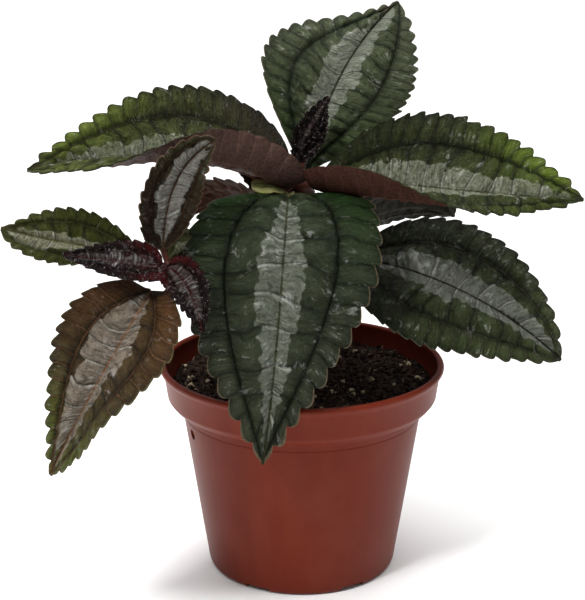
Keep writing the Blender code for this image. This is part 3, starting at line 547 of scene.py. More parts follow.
def blade_surface(leaf, shares, columns, seed):
    """The upper face's points, a row for each share of the midrib, and what its material reads there. Reach
    goes from 0 at the midrib to 1 at the margin, and right is 1 in the right half."""
    rib, along, across, up = blade_frame(leaf, shares)
    share, column = shares[:, None], columns[None, :]
    reach, right = abs(column), (column > 0) * 1

    # How each half stands: it goes over from its fold and curl near the base to those where it has opened.
    opened = np.clip((share - leaf["closed"]) / (leaf["opens"] - leaf["closed"]), 0, 1)
    opened = opened**2 * (3 - 2 * opened)
    turns = np.radians([leaf["left"], leaf["right"]])[right]
    near, far = turns[..., 0, :], turns[..., 1, :]
    fold = near[..., 0] + (far[..., 0] - near[..., 0]) * opened
    curl = near[..., 1] + (far[..., 1] - near[..., 1]) * opened

    # The outline: two powers of the share make a half's shape, and each tooth leans on towards the tip.
    draw = np.random.default_rng(seed)
    phase = share * leaf["teeth"] % 1
    tooth_sizes = draw.uniform(*TOOTH_SIZES, (2, leaf["teeth"] + 1))
    tooth_sizes = tooth_sizes[right, (share * leaf["teeth"]).astype(int)]
    teeth = leaf["tooth"] * tooth_sizes * np.sin(math.pi * phase**TOOTH_LEAN)**TOOTH_ROUNDING
    teeth = teeth * np.minimum(1, np.minimum(share / TOOTHLESS_BASE, (1 - share) / TOOTHLESS_TIP))
    base_power, tip_power = np.moveaxis(np.array(leaf["powers"])[right], -1, 0)
    widest = base_power / (base_power + tip_power)
    outline = share**base_power * (1 - share)**tip_power / (widest**base_power * (1 - widest)**tip_power)
    width = np.array(leaf["half_widths"])[right] * outline
    width = np.maximum(width, BLADE_END_HALF_WIDTH) + teeth * reach**6
    bend = curl * reach / 2
    chord = width * reach * np.sinc(bend / math.pi)
    swept = np.minimum(1, share / LOBE_ROOT_SHARE) * np.maximum(0, 1 - share / LOBE_SHARE)**2
    lobe = np.array(leaf["lobes"])[right] * reach**2 * swept

    # The veins: a side vein in each half, and cross veins that wander from the midrib to the notches.
    along_mm = share * 1000 * np.linalg.norm(np.diff(rib, axis=0), axis=1).sum()
    rib_mm = column * width * 1000
    side_vein = SIDE_VEIN * (1 - np.exp(-share / SIDE_VEIN_SPREAD)) + SIDE_VEIN_BASE
    side_mm = (reach - side_vein) * width * 1000
    outer = reach > side_vein
    lane = np.where(outer, (reach - side_vein) / (1 - side_vein), reach / side_vein)
    wander = VEIN_WANDER * ripple(draw, along_mm, rib_mm, *WANDER_WAVES_MM) * (1 - reach**3)
    slant = (CELL_SLANT * share - 0.5) * (1 - reach)
    cell = (share * leaf["teeth"] + slant) * np.where(outer, 1.0, INNER_CELLS) + 2 + wander
    number = np.floor(cell).astype(int)
    heights = draw.uniform(*PILLOW_HEIGHTS, (2, 2, leaf["teeth"] + 8))[right, outer * 1, number]
    swell = np.sin(math.pi * lane)**PILLOW_ROUNDING[0] * np.sin(math.pi * (cell % 1))**PILLOW_ROUNDING[1]

    # The relief: broad puffs in each half, pleats between the teeth, a pillow in each cell, fine blisters,
    # and sunken veins.
    ends = np.minimum(1, 8 * share * (1 - share))
    relief = max(leaf["half_widths"]) / RELIEF_HALF_WIDTH
    puff = PUFF_HEIGHT * np.sin(math.pi * lane)**2 * (1 - reach) * relief
    pleat = PLEAT_HEIGHT * 4 * reach * (1 - reach) * np.sin(math.pi * phase) * relief
    pillow = leaf["quilt"] * swell * heights
    blister = leaf["blister"] * ripple(draw, along_mm, rib_mm, *BLISTER_WAVES_MM) * np.minimum(1, abs(rib_mm))
    groove = (SIDE_GROOVE_DEPTH * np.exp(-(side_mm / SIDE_GROOVE_MM)**2)
              + RIB_GROOVE_DEPTH * np.exp(-(rib_mm / RIB_GROOVE_MM)**2))
    rise = chord * np.sin(fold + bend) + (puff + pleat + pillow + blister - groove) * ends
    sideways = np.sign(column) * chord * np.cos(fold + bend)
    forward = TOOTH_SWEEP * teeth * reach**6 - lobe
    points = (rib[:, None] + across[:, None] * sideways[..., None] + up[:, None] * rise[..., None]
              + along[:, None] * forward[..., None])

    # The silver band: it widens from the stalk, then keeps its share of the width, a little more or less
    # from cell to cell. In some cells towards the tip it starts a little way off the midrib. Each cell draws
    # both: how wide its silver is, and the slot beside the midrib.
    draws = draw.uniform(SILVER_LEAST, SILVER_MOST, (2, leaf["teeth"] + 8, 2))
    steps, slot = draws.transpose(2, 0, 1)[:, right, number]
    band = np.array(leaf["band"])[right] * width * 1000 * steps
    band = band * np.clip((share - leaf["bare"]) / SILVER_RISE, 0, 1)**0.6
    ends = np.maximum(0, share - SILVER_END), np.maximum(0, leaf["bare"] - share)
    silver_mm = band + SILVER_EDGE_MM * ripple(draw, along_mm, rib_mm, *SILVER_WAVES_MM) - abs(rib_mm)
    silver_mm = silver_mm - SILVER_FADE_MM * ends[0] - SILVER_FADE_MM * ends[1]
    silver_mm = np.minimum(silver_mm, abs(rib_mm) + SILVER_RIB_MM - np.maximum(0, slot) * share)
    margin_mm = (1 - reach) * width * 1000
    return points, {"rib_mm": rib_mm, "side_mm": side_mm, "margin_mm": margin_mm, "cell": cell,
                    "silver_mm": silver_mm, "swell": swell, "share": share + 0 * reach}


def blade(leaf, rows, across_count, seed):
    """A closed blade: corners, faces, a material number for each face, and its readings at each corner."""
    shares, columns = np.linspace(0, 1, rows), np.linspace(-1, 1, across_count)
    top, readings = blade_surface(leaf, shares, columns, seed)
    normal = unit(np.cross(np.gradient(top, axis=0), np.gradient(top, axis=1)))
    normal *= np.sign((normal[rows // 2, across_count // 2] * blade_frame(leaf, shares)[3][rows // 2]).sum())
    thickness = MARGIN_THICKNESS + (BLADE_THICKNESS - MARGIN_THICKNESS) * (1 - columns**4)
    under = top - normal * thickness[None, :, None]
    corners = np.concatenate([top.reshape(-1, 3), under.reshape(-1, 3)])
    numbers = np.arange(rows * across_count).reshape(rows, across_count)
    offset = rows * across_count
    upper = np.stack([numbers[:-1, :-1], numbers[:-1, 1:], numbers[1:, 1:], numbers[1:, :-1]], axis=-1)
    upper = upper.reshape(-1, 4)
    lower = (upper + offset)[:, [0, 3, 2, 1]]
    loop = np.concatenate([numbers[0, :-1], numbers[:-1, -1], numbers[-1, :0:-1], numbers[:0:-1, 0]])
    following = np.roll(loop, -1)
    edge = np.stack([loop, loop + offset, following + offset, following], axis=-1)
    faces = np.concatenate([upper, lower, edge])
    kinds = [0] * len(upper) + [1] * len(lower) + [0] * len(edge)
    readings = {name: np.tile(np.broadcast_to(value, (rows, across_count)).ravel(), 2)
                for name, value in readings.items()}
    return corners, faces, kinds, readings


def stalk_path(leaf, stem):
    """The stalk's axis from the stem's skin to the blade, then on under the midrib, and its radii."""
    before, node = points_along(stem["axis"], (leaf["height"] - 0.01, leaf["height"]))
    growth = unit(node - before)
    outward = np.array(leaf["rib"][0]) - node
    outward = unit(outward - outward.dot(growth) * growth)
    start = node + outward * stem_radius(stem, leaf["height"]) * STALK_START
    if leaf["height"] == 1:
        start, outward = node, growth
    rib, along, _, up = blade_frame(leaf, np.linspace(0, KEEL_SHARE, KEEL_RINGS))
    thinning = np.linspace(leaf["stalk"], KEEL_END_RADIUS, len(rib))
    keel = rib - up * (thinning[:, None] + KEEL_SINK)
    root = start + outward * STALK_ROOT
    arm = np.linalg.norm(keel[0] - root) / 3
    handles = (root, root + outward * arm, keel[0] - along[0] * arm, keel[0])
    stalk = points_along(handles, np.linspace(0, 1, STALK_RINGS)[:-1])
    return np.concatenate([[start], stalk, keel]), [leaf["stalk"]] * STALK_RINGS + list(thinning)


def leaf_mesh(name, leaves, materials, grid):
    """One mesh of one or more leaves, each with its stalk, and their readings as attributes."""
    corners, faces, kinds, readings = [], [], [], {}
    for number, leaf in enumerate(leaves):
        made, quads, sides, values = blade(leaf, *grid, seed=len(name) * 7 + number)
        quads = [tuple(quad) for quad in quads + len(corners)]
        corners.extend(made)
        faces.extend(quads)
        kinds.extend(sides)
        path, radii = stalk_path(leaf, STEMS[leaf["stem"]])
        made, rings = tube(path, radii, 12)
        rings = [tuple(corner + len(corners) for corner in ring) for ring in rings]
        corners.extend(made)
        faces.extend(rings)
        kinds.extend([2] * len(rings))
        for reading, value in values.items():
            readings.setdefault(reading, []).extend([*value, *[0.0] * len(made)])
    mesh = bpy.data.meshes.new(name)
    mesh.from_pydata(corners, [], faces)
    mesh.polygons.foreach_set("material_index", kinds)
    for reading, value in readings.items():
        mesh.attributes.new(reading, "FLOAT", "POINT").data.foreach_set("value", value)
    for material in materials:
        mesh.materials.append(material)
    mesh.shade_smooth()
    mesh.set_sharp_from_angle(angle=math.radians(70))
    return mesh


MOTTLE_MM, FLECK_MM, RAGGED_MM, BUBBLE_MM = 5.263, 0.6667, 1.538, 1.25
CREASE_MM, CREASES_PER_CELL = 3.571, 4.5
UNDER_MOTTLE_MM, VEIN_NET_MM = 4.545, 1.429


def cross_vein(tree, cell, strength):
    """How far on a spot is in its cell, 0 to 1, and the weight there of the cross vein between two cells."""
    fraction = add(tree, "ShaderNodeMath", {0: cell}, operation="FRACT")
    centred = add(tree, "ShaderNodeMath", {0: fraction, 1: 0.5}, operation="SUBTRACT")
    to_middle = add(tree, "ShaderNodeMath", {0: centred}, operation="ABSOLUTE")
    return fraction, add(tree, "ShaderNodeMapRange", {
        "Value": to_middle, "From Min": 0.44, "From Max": 0.49, "To Max": strength},
        interpolation_type="SMOOTHSTEP")


def beside_line(tree, distance_mm, core, edge, strength):
    """A vein's weight: its strength within the core, and none beyond the edge, on either side."""
    distance = add(tree, "ShaderNodeMath", {0: distance_mm}, operation="ABSOLUTE")
    return add(tree, "ShaderNodeMapRange", {
        "Value": distance, "From Min": core, "From Max": edge, "To Min": strength, "To Max": 0.0},
        interpolation_type="SMOOTHSTEP")


def leaf_upper(name, dark, light, base, tip, silver, vein, branch, midrib, margin, lit=0):
    """A living leaf's upper face: waxy and quilted, its colour shifting from the base to the tip, partly its
    own colour and partly painted light let through the blade. On the half whose sign is lit that shift is
    stronger, as painted backlight, so it is the brighter one."""
    material, tree, shader = new_material(name, Roughness=0.28, IOR=1.45, Subsurface_Weight=0.06,
                                          Subsurface_Scale=0.0008)
    read = {reading: add(tree, "ShaderNodeAttribute", attribute_name=reading).outputs["Fac"]
            for reading in ("rib_mm", "side_mm", "margin_mm", "cell", "silver_mm", "swell", "share")}
    place = add(tree, "ShaderNodeTexCoord").outputs["Object"]
    mottle, fleck, ragged, bubbles = (
        add(tree, "ShaderNodeTexNoise", {"Vector": place, "Scale": 1000 / feature_mm, "Detail": detail,
                                         "Roughness": roughness})
        for feature_mm, detail, roughness in ((MOTTLE_MM, 6.0, 0.65), (FLECK_MM, 3.0, 0.7),
                                              (RAGGED_MM, 4.0, 0.5), (BUBBLE_MM, 4.0, 0.6)))
    beside = add(tree, "ShaderNodeMath", {0: read["rib_mm"], 1: 1 / CREASE_MM}, operation="MULTIPLY")
    onward = add(tree, "ShaderNodeMath", {0: read["cell"], 1: CREASES_PER_CELL}, operation="MULTIPLY")
    crease = add(tree, "ShaderNodeTexNoise", {
        "Vector": add(tree, "ShaderNodeCombineXYZ", {"X": beside, "Y": onward}), "Scale": 1.0, "Detail": 5.0,
        "Roughness": 0.66, "Distortion": 1.2})

    # Green: painted light on each pillow, painted shade in the valleys, and mottled.
    tone = -1.15
    for source, share in ((mottle, 0.8), (crease, 1.7), (read["swell"], 0.75)):
        tone = add(tree, "ShaderNodeMath", {0: source, 1: share, 2: tone}, operation="MULTIPLY_ADD")
    colour = add(tree, "ShaderNodeMix", {"Factor": tone, "A": dark, "B": light}, data_type="RGBA")
    # The shift from base to tip, most towards the margin: partly the leaf's own colour and partly painted
    # light let through the blade, with more of it on the lit half.
    outer = add(tree, "ShaderNodeMapRange", {"Value": read["side_mm"], "From Min": -4.0, "From Max": 6.0,
                                             "To Min": 0.25, "To Max": 1.0}, interpolation_type="SMOOTHSTEP")
    for shade, start, end in ((base, 0.5, 0.05), (tip, 0.45, 0.95)):
        towards = add(tree, "ShaderNodeMapRange", {"Value": read["share"], "From Min": start,
                                                   "From Max": end}, interpolation_type="SMOOTHSTEP")
        weight = add(tree, "ShaderNodeMath", {0: towards, 1: outer}, operation="MULTIPLY")
        if lit:
            painted_backlight = add(tree, "ShaderNodeMapRange", {"Value": read["rib_mm"], "From Min": -2.0 * lit,
                                                    "From Max": 2.0 * lit, "To Min": 0.3, "To Max": 1.0})
            weight = add(tree, "ShaderNodeMath", {0: weight, 1: painted_backlight}, operation="MULTIPLY")
        weight = add(tree, "ShaderNodeMath", {0: weight, 1: 0.85}, operation="MULTIPLY")
        depth = add(tree, "ShaderNodeMath", {0: tone, 1: 0.35}, operation="ADD")
        toned = add(tree, "ShaderNodeMix", {"Factor": depth, "A": dark, "B": shade}, data_type="RGBA")
        colour = add(tree, "ShaderNodeMix", {"Factor": weight, "A": colour, "B": toned}, data_type="RGBA")

    # Silver: air under the skin, so a speckled grey, worn in the creases and paler where a cell begins.
    within = add(tree, "ShaderNodeMath", {0: ragged, 1: 2.2, 2: read["silver_mm"]}, operation="MULTIPLY_ADD")
    in_band = add(tree, "ShaderNodeMapRange", {"Value": within, "From Min": 1.0, "From Max": 1.35})
    silvered = in_band
    for source, start, end, least in ((fleck, 0.3, 0.7, 0.6), (crease, 0.34, 0.54, 0.3)):
        wear = add(tree, "ShaderNodeMapRange", {"Value": source, "From Min": start, "From Max": end,
                                                "To Min": least, "To Max": 1.0})
        silvered = add(tree, "ShaderNodeMath", {0: silvered, 1: wear}, operation="MULTIPLY")
    fraction, crossing = cross_vein(tree, read["cell"], 1.3)
    rim = add(tree, "ShaderNodeMapRange", {"Value": fraction, "From Min": 0.03, "From Max": 0.16,
                                           "To Min": 0.5, "To Max": 0.0})
    rim = add(tree, "ShaderNodeMath", {0: rim, 1: silvered}, operation="MULTIPLY")

    # Veins: cross veins that fade in and out, lighter beyond the side vein; the two side veins, each a fine
    # line with soft painted shade in its groove; the midrib; and a thin line of its own colour along the
    # margin.
    crossing = add(tree, "ShaderNodeMath", {0: crossing, 1: mottle}, operation="MULTIPLY")
    beyond = add(tree, "ShaderNodeMath", {0: read["side_mm"], 1: 0.0}, operation="GREATER_THAN")
    edging = add(tree, "ShaderNodeMapRange", {"Value": read["margin_mm"], "From Min": 0.1, "From Max": 0.35,
                                              "To Min": 0.7, "To Max": 0.0})
    crossed = add(tree, "ShaderNodeMix", {"Factor": beyond, "A": vein, "B": branch}, data_type="RGBA")
    for weight, shade in ((silvered, silver), (rim, "#b4b5aa"), (crossing, crossed),
                          (beside_line(tree, read["side_mm"], 0.2, 1.4, 0.5), vein),
                          (beside_line(tree, read["side_mm"], 0.08, 0.3, 0.8), branch),
                          (beside_line(tree, read["rib_mm"], 0.2, 0.45, 0.9), midrib), (edging, margin)):
        colour = add(tree, "ShaderNodeMix", {"Factor": weight, "A": colour, "B": shade}, data_type="RGBA")

    # Skin: fine creases and bubbles, and wax that is rubbed smooth in spots on the ridges, which glint.
    height = add(tree, "ShaderNodeMath", {0: crease, 1: 2.0, 2: bubbles}, operation="MULTIPLY_ADD")
    bump = add(tree, "ShaderNodeBump", {"Height": height, "Strength": 1.0, "Distance": 0.0009})
    polish = add(tree, "ShaderNodeMath", {0: mottle, 1: crease}, operation="ADD")
    polish = add(tree, "ShaderNodeMath", {0: in_band, 1: 0.06, 2: polish}, operation="MULTIPLY_ADD")
    gloss = add(tree, "ShaderNodeMapRange", {"Value": polish, "From Min": 1.13, "From Max": 1.27,
                                             "To Min": 0.12, "To Max": 2.2})
    feed(shader, Base_Color=colour, Normal=bump, Specular_IOR_Level=gloss)
    return material


def leaf_under(name, dark, light, vein):
    """A leaf's underside: matter than the upper face, with its veins and their fine net standing out."""
    material, tree, shader = new_material(name, Roughness=0.5, IOR=1.4, Specular_IOR_Level=0.05,
                                          Subsurface_Weight=0.08, Subsurface_Scale=0.0008)
    read = {reading: add(tree, "ShaderNodeAttribute", attribute_name=reading).outputs["Fac"]
            for reading in ("side_mm", "cell")}
    place = add(tree, "ShaderNodeTexCoord").outputs["Object"]
    mottle = add(tree, "ShaderNodeTexNoise", {"Vector": place, "Scale": 1000 / UNDER_MOTTLE_MM,
                                              "Detail": 5.0, "Roughness": 0.6})
    _, crossing = cross_vein(tree, read["cell"], 0.5)
    bent = add(tree, "ShaderNodeMix", {"Factor": 0.0015, "A": place, "B": mottle.outputs["Color"]},
               data_type="VECTOR")
    network = add(tree, "ShaderNodeTexVoronoi", {"Vector": bent, "Scale": 1000 / VEIN_NET_MM},
                  feature="DISTANCE_TO_EDGE")
    net = add(tree, "ShaderNodeMapRange", {"Value": network, "From Min": 0.02, "From Max": 0.16,
                                           "To Min": 0.4, "To Max": 0.0})
    colour = dark
    for weight, shade in ((mottle, light), (crossing, vein),
                          (beside_line(tree, read["side_mm"], 0.15, 0.5, 0.6), vein), (net, vein)):
        colour = add(tree, "ShaderNodeMix", {"Factor": weight, "A": colour, "B": shade}, data_type="RGBA")
    height = add(tree, "ShaderNodeMath", {0: net, 1: 0.6, 2: mottle}, operation="MULTIPLY_ADD")
    bump = add(tree, "ShaderNodeBump", {"Height": height, "Strength": 0.7, "Distance": 0.0005})
    feed(shader, Base_Color=colour, Normal=bump)
    return material


# Leaf stalk and keel: smooth and fleshy, a little see-through, redder than the blade.
grown_stalk = two_toned("reddish_leaf_stalk", 1.25, 3.0, "#3a1c16", "#5a2e22", Roughness=0.5,
                        Specular_IOR_Level=0.15, Subsurface_Weight=0.1, Subsurface_Scale=0.0008)


def add_leaf(name, top, under, *leaves, stalk=grown_stalk, grid=(225, 75), slot="leaf"):
    """A piece of one or more leaves. Its grid is how many rows a blade has, and how many points across."""
    piece = show(name + "_blade", leaf_mesh(name, leaves, (top, under, stalk), grid))
    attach(piece, "root")
    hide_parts(name)
    return piece


# Undersides: the skin's dark and light, then the veins.
crown_under = leaf_under("crown_leaf_underside", "#251611", "#38241d", "#4c3028")
left_under = leaf_under("left_crown_leaf_underside", "#30231f", "#4a3832", "#5c443c")

# Upper faces: the skin's dark and light, its base and tip, then silver, vein, branch, midrib and margin.
left_top = leaf_upper("left_crown_leaf_upper_face", "#14160a", "#464b26", "#22150b", "#82943f", "#7e816c",
                      "#14140a", "#403c28", "#5f5c42", "#2c2c16", lit=1)
right_top = leaf_upper("right_crown_leaf_upper_face", "#12150a", "#343a1c", "#1a1e0b", "#6a7e24",
                       "#7c7f6c", "#121509", "#1c2010", "#424430", "#2a3014", lit=-1)
front_top = leaf_upper("front_crown_leaf_upper_face", "#151a0e", "#323827", "#1a3410", "#343628",
                       "#666a5e", "#0f120a", "#101309", "#2c2e18", "#6a5c48")
back_top = leaf_upper("back_crown_leaf_upper_face", "#20271a", "#4c533a", "#40502a", "#484e38", "#84887a",
                      "#181b10", "#22261a", "#2c3020", "#5f5c46")

# A leaf's values: "left" and "right" fold and curl each half, in degrees, near the base and then where it
# has opened, which it does between the shares "closed" and "opens" of its length. "powers" shape the
# outline's base and tip, "lobes" sweep the base back, "bare" is the share of the base without silver, and
# "faces" are the ways that the upper face looks at the base and the tip.
FLAT = ((8, 8), (6, 0))
GROWN = {"left": FLAT, "right": FLAT, "closed": 0.0, "opens": 0.55, "powers": ((0.6, 1.0), (0.6, 1.0)),
         "lobes": (0.0, 0.0), "teeth": 16, "tooth": TOOTH_DEPTH, "quilt": 0.0005, "blister": 0.00018,
         "band": (0.28, 0.26), "bare": 0.0, "stalk": STALK_RADIUS, "stem": "stem_main"}

add_leaf("leaf_crown_left", left_top, left_under, {
    **GROWN, "height": 0.955, "teeth": 19, "tooth": 0.0017, "quilt": 0.0006,
    "rib": ((-0.0044, -0.0030, 0.1243), (-0.0217, -0.0058, 0.1356), (-0.0518, -0.0118, 0.1385),
            (-0.0819, -0.0139, 0.1319)),
    "faces": ((0.2, -0.1, 0.8), (0, -0.4, 1)), "half_widths": (0.0234, 0.0257),
    "powers": ((0.46, 0.75), (0.42, 1.25)), "opens": 0.8, "closed": 0.1, "lobes": (0.0074, 0.0),
    "left": ((-19, 163), (12, 17)), "right": ((16, 19), (50, 11)),
})
add_leaf("leaf_crown_right", right_top, crown_under, {
    **GROWN, "height": 0.955, "teeth": 19, "tooth": 0.0017, "quilt": 0.0006,
    "rib": ((0.0044, -0.0030, 0.1261), (0.0252, -0.0102, 0.1289), (0.0585, -0.0179, 0.1243),
            (0.0817, -0.0260, 0.1259)),
    "faces": ((-0.1, -0.3, 1), (0, -0.45, 1)), "half_widths": (0.0235, 0.0229),
    "powers": ((0.84, 1.06), (0.34, 1.0)), "opens": 0.84, "closed": 0.1, "lobes": (0.0, 0.0040),
    "left": ((34, 8), (26, -3)), "right": ((-26, 144), (5, 2)),
})
add_leaf("leaf_crown_front", front_top, crown_under, {
    **GROWN, "height": 0.88,
    "rib": ((-0.0041, -0.0060, 0.1216), (-0.0046, -0.0376, 0.1335), (-0.0064, -0.0461, 0.0858),
            (-0.0116, -0.0562, 0.0552)),
    "faces": ((0, -0.2, 1), (0, -1, 0.2)), "half_widths": (0.0268, 0.0276),
    "powers": ((0.59, 1.32), (0.73, 1.16)), "opens": 0.5, "left": ((8, -6), (6, -11)),
    "right": ((6, -7), (8, -10)), "tooth": 0.0019, "bare": 0.12,
})
add_leaf("leaf_crown_back", back_top, crown_under, {
    **GROWN, "height": 0.92, "teeth": 18, "tooth": 0.0016,
    "rib": ((0.0010, 0.0060, 0.1270), (0.0069, 0.0098, 0.1463), (0.0118, 0.0168, 0.1619),
            (0.0304, 0.0313, 0.1765)),
    "faces": ((0.1, -0.9, 0.3), (0.2, -0.7, 0.7)), "half_widths": (0.0252, 0.0214),
    "powers": ((1.1, 1.8), (1.0, 0.9)), "opens": 0.85, "left": ((27, 51), (1, -29)),
    "right": ((10, 10), (12, 2)),
})


# Lower leaves
# Older leaves of the main stem, darker and tougher than the crown's. They stand out under it on longer
# stalks, and two of them show only their undersides behind it.

low_top = leaf_upper("old_leaf_upper_face", "#0c1006", "#3a4226", "#0f140a", "#424a2c", "#70736a",
                     "#0b0c07", "#4a4a36", "#17130e", "#4a483a")
low_under = leaf_under("old_leaf_underside", "#0f0e06", "#19170c", "#26241a")
brown_under = leaf_under("brown_leaf_underside", "#26130a", "#321b10", "#40281a")

add_leaf("leaf_low_right", low_top, low_under, {
    **GROWN, "height": 0.66,
    "rib": ((0.0155, -0.0040, 0.1021), (0.0327, -0.0095, 0.1020), (0.0589, -0.0164, 0.0936),
            (0.0787, -0.0199, 0.0742)),
    "faces": ((0.1, -0.7, 1), (0.3, -0.8, 0.8)), "half_widths": (0.0225, 0.0252),
    "powers": ((0.75, 1.0), (0.43, 0.9)), "opens": 0.46, "left": ((6, 7), (6, 0)),
    "right": ((10, 9), (3, -1)),
})
add_leaf("leaf_low_back_right", low_top, low_under, {
    **GROWN, "height": 0.60, "half_widths": (0.0150, 0.0185), "teeth": 12,
    "rib": ((0.008, 0.009, 0.098), (0.020, 0.024, 0.1140), (0.0385, 0.035, 0.1125), (0.0515, 0.045, 0.1035)),
    "faces": ((-0.4, 0.7, 0.8), (0.1, 1.1, 0.8)),
}, grid=(150, 55))
add_leaf("leaf_low_back_left", low_top, brown_under, {
    **GROWN, "height": 0.68, "half_widths": (0.0130, 0.0120), "teeth": 12,
    "rib": ((-0.0055, 0.006, 0.102), (-0.014, 0.016, 0.1175), (-0.024, 0.024, 0.118),
            (-0.0385, 0.030, 0.1075)),
    "faces": ((0.3, 0.6, 1), (-0.2, 1.2, 1)),
}, grid=(150, 55))
add_leaf("leaf_low_back", low_top, low_under, {
    **GROWN, "height": 0.45, "half_widths": (0.0200, 0.0200), "teeth": 14,
    "rib": ((0.0, 0.012, 0.086), (-0.004, 0.034, 0.100), (-0.010, 0.058, 0.084), (-0.014, 0.070, 0.062)),
    "faces": ((0, 0.2, 1), (0, 1, 0.4)),
}, grid=(197, 65))


# Side shoot's leaves
# Half-grown leaves on the thin side shoot, redder than the crown's because new growth comes in bronze.
# They grow from its nodes on thin stalks, and the lowest one hangs over the rim.

HALF_GROWN = {**GROWN, "stem": "stem_side", "teeth": 12, "tooth": 0.0010, "stalk": 0.0009}
shoot_top = leaf_upper("bronze_leaf_upper_face", "#17120b", "#33281b", "#20150c", "#3c4028", "#86847c",
                       "#110d09", "#4c3826", "#4c3826", "#5e4a38")
outer_top = leaf_upper("olive_leaf_upper_face", "#1a1d08", "#363a11", "#2a2d0e", "#454a1c", "#7f7e68",
                       "#14150a", "#4c4c2a", "#5c5a3a", "#504a34")
lower_top = leaf_upper("red_bronze_leaf_upper_face", "#21190f", "#463820", "#4d3019", "#5a6a22", "#80766a",
                       "#14100a", "#6a4a32", "#7e5a3e", "#5f5a38")

add_leaf("leaf_side_upper", shoot_top, brown_under, {
    **HALF_GROWN, "height": 0.975,
    "rib": ((-0.0401, -0.0365, 0.1138), (-0.0394, -0.0345, 0.1283), (-0.0358, -0.0351, 0.1392),
            (-0.0244, -0.0379, 0.1457)),
    "faces": ((0.1, -1, 0.3), (0.1, -1, 0.3)), "half_widths": (0.0090, 0.0089),
    "powers": ((0.35, 0.65), (0.6, 0.75)), "left": ((27, 28), (22, 21)), "right": ((29, 29), (19, 20)),
    "band": (0.5, 0.5),
}, grid=(150, 55))
add_leaf("leaf_side_outer", outer_top, brown_under, {
    **HALF_GROWN, "height": 0.93,
    "rib": ((-0.0452, -0.0380, 0.1110), (-0.0573, -0.0373, 0.1148), (-0.0698, -0.0390, 0.1158),
            (-0.0853, -0.0419, 0.1213)),
    "faces": ((0, -0.8, 1), (0, -0.9, 1)), "half_widths": (0.0076, 0.0109), "band": (0.62, 0.22),
    "powers": ((1.1, 0.67), (1.2, 1.27)),
}, grid=(150, 55))
add_leaf("leaf_side_inner", outer_top, brown_under, {
    **HALF_GROWN, "height": 0.86, "half_widths": (0.0090, 0.0090),
    "rib": ((-0.0395, -0.0315, 0.109), (-0.033, -0.022, 0.114), (-0.022, -0.016, 0.111),
            (-0.013, -0.014, 0.1035)),
    "faces": ((0.3, 0, 1), (0.5, 0.1, 1)),
}, grid=(150, 55))
add_leaf("leaf_side_lower", lower_top, brown_under, {
    **GROWN, "stem": "stem_side", "height": 0.90,
    "rib": ((-0.0430, -0.0440, 0.1035), (-0.0448, -0.0541, 0.1026), (-0.0599, -0.0600, 0.0784),
            (-0.0722, -0.0578, 0.0527)),
    "faces": ((-0.2, -0.4, 1), (-0.1, -1, 0.5)), "half_widths": (0.0192, 0.0170),
    "powers": ((0.66, 1.06), (0.65, 1.36)), "opens": 0.67, "closed": 0.09, "left": ((-3, 3), (37, 13)),
    "right": ((20, 15), (8, 1)), "teeth": 15, "tooth": 0.0016, "quilt": 0.0005, "band": (0.28, 0.52),
    "lobes": (0.0008, 0.0026),
}, grid=(197, 65))


# Young leaves and bud
# New leaves at the tips, still folded and puckered, dark purple-red, and thick with short white hairs.
# The pale stipule, the sheath that wrapped the bud, is left at the crown's node.

YOUNG = {**HALF_GROWN, "teeth": 10, "tooth": 0.0007, "stalk": 0.0008, "quilt": 0.0004, "band": (0.3, 0.3)}
young_top = leaf_upper("young_leaf_upper_face", "#0c0607", "#1c0b0b", "#4a0a0c", "#140b0b", "#453c3a",
                       "#050303", "#1c0a0a", "#38100f", "#1c1010")
axil_top = leaf_upper("red_axil_leaf_upper_face", "#2c110b", "#5a2a1c", "#5a2418", "#54281b", "#66382a",
                      "#1c0a07", "#3c1a12", "#6e3a2a", "#5c3a2c")
bud_top = leaf_upper("bud_leaf_upper_face", "#0c0708", "#1a0d0d", "#1c0c0c", "#140b0b", "#453c3a",
                     "#050303", "#241a18", "#4c3a38", "#1c1010")
young_under = leaf_under("young_leaf_underside", "#1c0808", "#301012", "#40181a")
bud_upright = {"height": 1.0, "half_widths": (0.0040, 0.0034), "stem": "stem_main"}

young_left = add_leaf("leaf_side_young_left", young_top, young_under, {
    **YOUNG, "height": 0.985, "half_widths": (0.0073, 0.0071), "powers": ((0.35, 0.95), (0.35, 0.95)),
    "rib": ((-0.0398, -0.0432, 0.1098), (-0.048, -0.047, 0.114), (-0.058, -0.050, 0.1135),
            (-0.0665, -0.052, 0.1165)),
    "faces": ((0, -0.7, 1), (0, -0.7, 1)),
}, grid=(101, 41), slot="young_leaf")
young_right = add_leaf("leaf_side_young_right", young_top, young_under, {
    **YOUNG, "height": 0.985, "half_widths": (0.0056, 0.0056), "powers": ((0.35, 0.95), (0.35, 0.95)),
    "rib": ((-0.0388, -0.0432, 0.1102), (-0.033, -0.048, 0.1100), (-0.0302, -0.0515, 0.103),
            (-0.0283, -0.0525, 0.094)),
    "faces": ((0, -1, 1), (0.2, -1, 0.5)), "band": (0.5, 0.5),
}, grid=(101, 41), slot="young_leaf")
add_leaf("leaf_axil", axil_top, young_under, {
    **YOUNG, "stem": "stem_main", "height": 0.84, "half_widths": (0.0042, 0.0042), "teeth": 8,
    "rib": ((-0.005, -0.001, 0.1165), (-0.009, -0.001, 0.122), (-0.0135, -0.002, 0.1255),
            (-0.019, -0.002, 0.129)),
    "faces": ((0.3, -0.8, 0.6), (0.3, -0.8, 0.6)),
}, grid=(81, 33), slot="young_leaf")
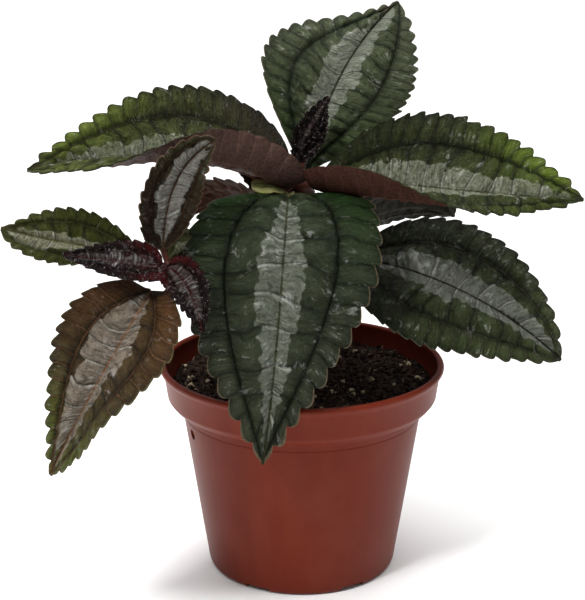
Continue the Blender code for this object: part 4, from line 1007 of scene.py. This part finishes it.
bud = add_leaf("bud_crown", bud_top, young_under, {
    **YOUNG, **bud_upright, "faces": ((0.6, -1, 0.3), (0.6, -1, 0.3)),
    "rib": ((-0.0006, -0.0005, 0.1315), (-0.0014, -0.0024, 0.1370), (0.0020, -0.0024, 0.1435),
            (0.0080, -0.0010, 0.1515)),
}, {
    **YOUNG, **bud_upright, "faces": ((-0.8, -1, 0.3), (-0.8, -1, 0.3)),
    "rib": ((-0.0003, -0.0004, 0.1320), (0.0028, 0.0010, 0.1365), (0.0058, 0.0012, 0.1415),
            (0.0070, 0.0016, 0.1475)),
}, grid=(101, 41), slot="young_leaf")

stipule_skin = leaf_under("dry_stipule_skin", "#6f7440", "#8c8f55", "#a39a72")
add_leaf("stipule_crown", stipule_skin, stipule_skin, {
    **YOUNG, "stem": "stem_main", "height": 0.925,
    "rib": ((-0.0040, -0.0042, 0.1224), (-0.0065, -0.0068, 0.1248), (-0.0100, -0.0093, 0.1262),
            (-0.0150, -0.0114, 0.1262)),
    "faces": ((0, -0.5, 1), (0, -0.5, 1)), "half_widths": (0.0038, 0.0032),
    "powers": ((0.9, 0.3), (0.9, 0.3)), "tooth": 0, "teeth": 5, "stalk": 0.0006, "quilt": 0.0001,
}, stalk=stipule_skin, grid=(41, 21), slot="stipule")

# The hairs: stiff white cones of up to a millimetre, standing off the young skin at all angles.
hair_skin, _, _ = new_material("translucent_leaf_hair", Base_Color=linear("#cfc4c2"), Roughness=0.4)
hair_tree, given = new_tree("leaf_hairs", Density="Float", Length="Float", Width="Float", Seed="Int",
                            Material="Material")
roots = add(hair_tree, "GeometryNodeDistributePointsOnFaces", {
    "Mesh": given["Geometry"], "Density": given["Density"], "Seed": given["Seed"]})
hair = add(hair_tree, "GeometryNodeMeshCone", {
    "Vertices": 3, "Radius Top": 0.0, "Radius Bottom": given["Width"], "Depth": given["Length"]},
    fill_type="NONE")
lean = add(hair_tree, "FunctionNodeRandomValue", {"Min": (-0.7, -0.7, -3.1), "Max": (0.7, 0.7, 3.1),
                                                  "Seed": given["Seed"]}, data_type="FLOAT_VECTOR")
leaned = add(hair_tree, "FunctionNodeRotateRotation", {
    "Rotation": roots.outputs["Rotation"], "Rotate By": lean}, rotation_space="LOCAL")
long = add(hair_tree, "FunctionNodeRandomValue", {"Min": 0.5, "Max": 1.2, "Seed": given["Seed"]},
           data_type="FLOAT")
grown = add(hair_tree, "GeometryNodeInstanceOnPoints", {
    "Points": roots.outputs["Points"], "Instance": hair.outputs["Mesh"], "Rotation": leaned, "Scale": long})
real = add(hair_tree, "GeometryNodeRealizeInstances", {"Geometry": grown})
painted = add(hair_tree, "GeometryNodeSetMaterial", {"Geometry": real, "Material": given["Material"]})
add(hair_tree, "NodeGroupOutput", {"Geometry": painted})

for number, (leaf, density) in enumerate(((bud, 9e5), (young_left, 7e5), (young_right, 7e5))):
    hairs = run_tree(leaf.name.replace("_blade", "_hairs"), leaf.data.copy(), hair_tree, Density=density,
                     Length=0.0008, Width=0.00003, Seed=number, Material=hair_skin)
    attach(hairs, "root")
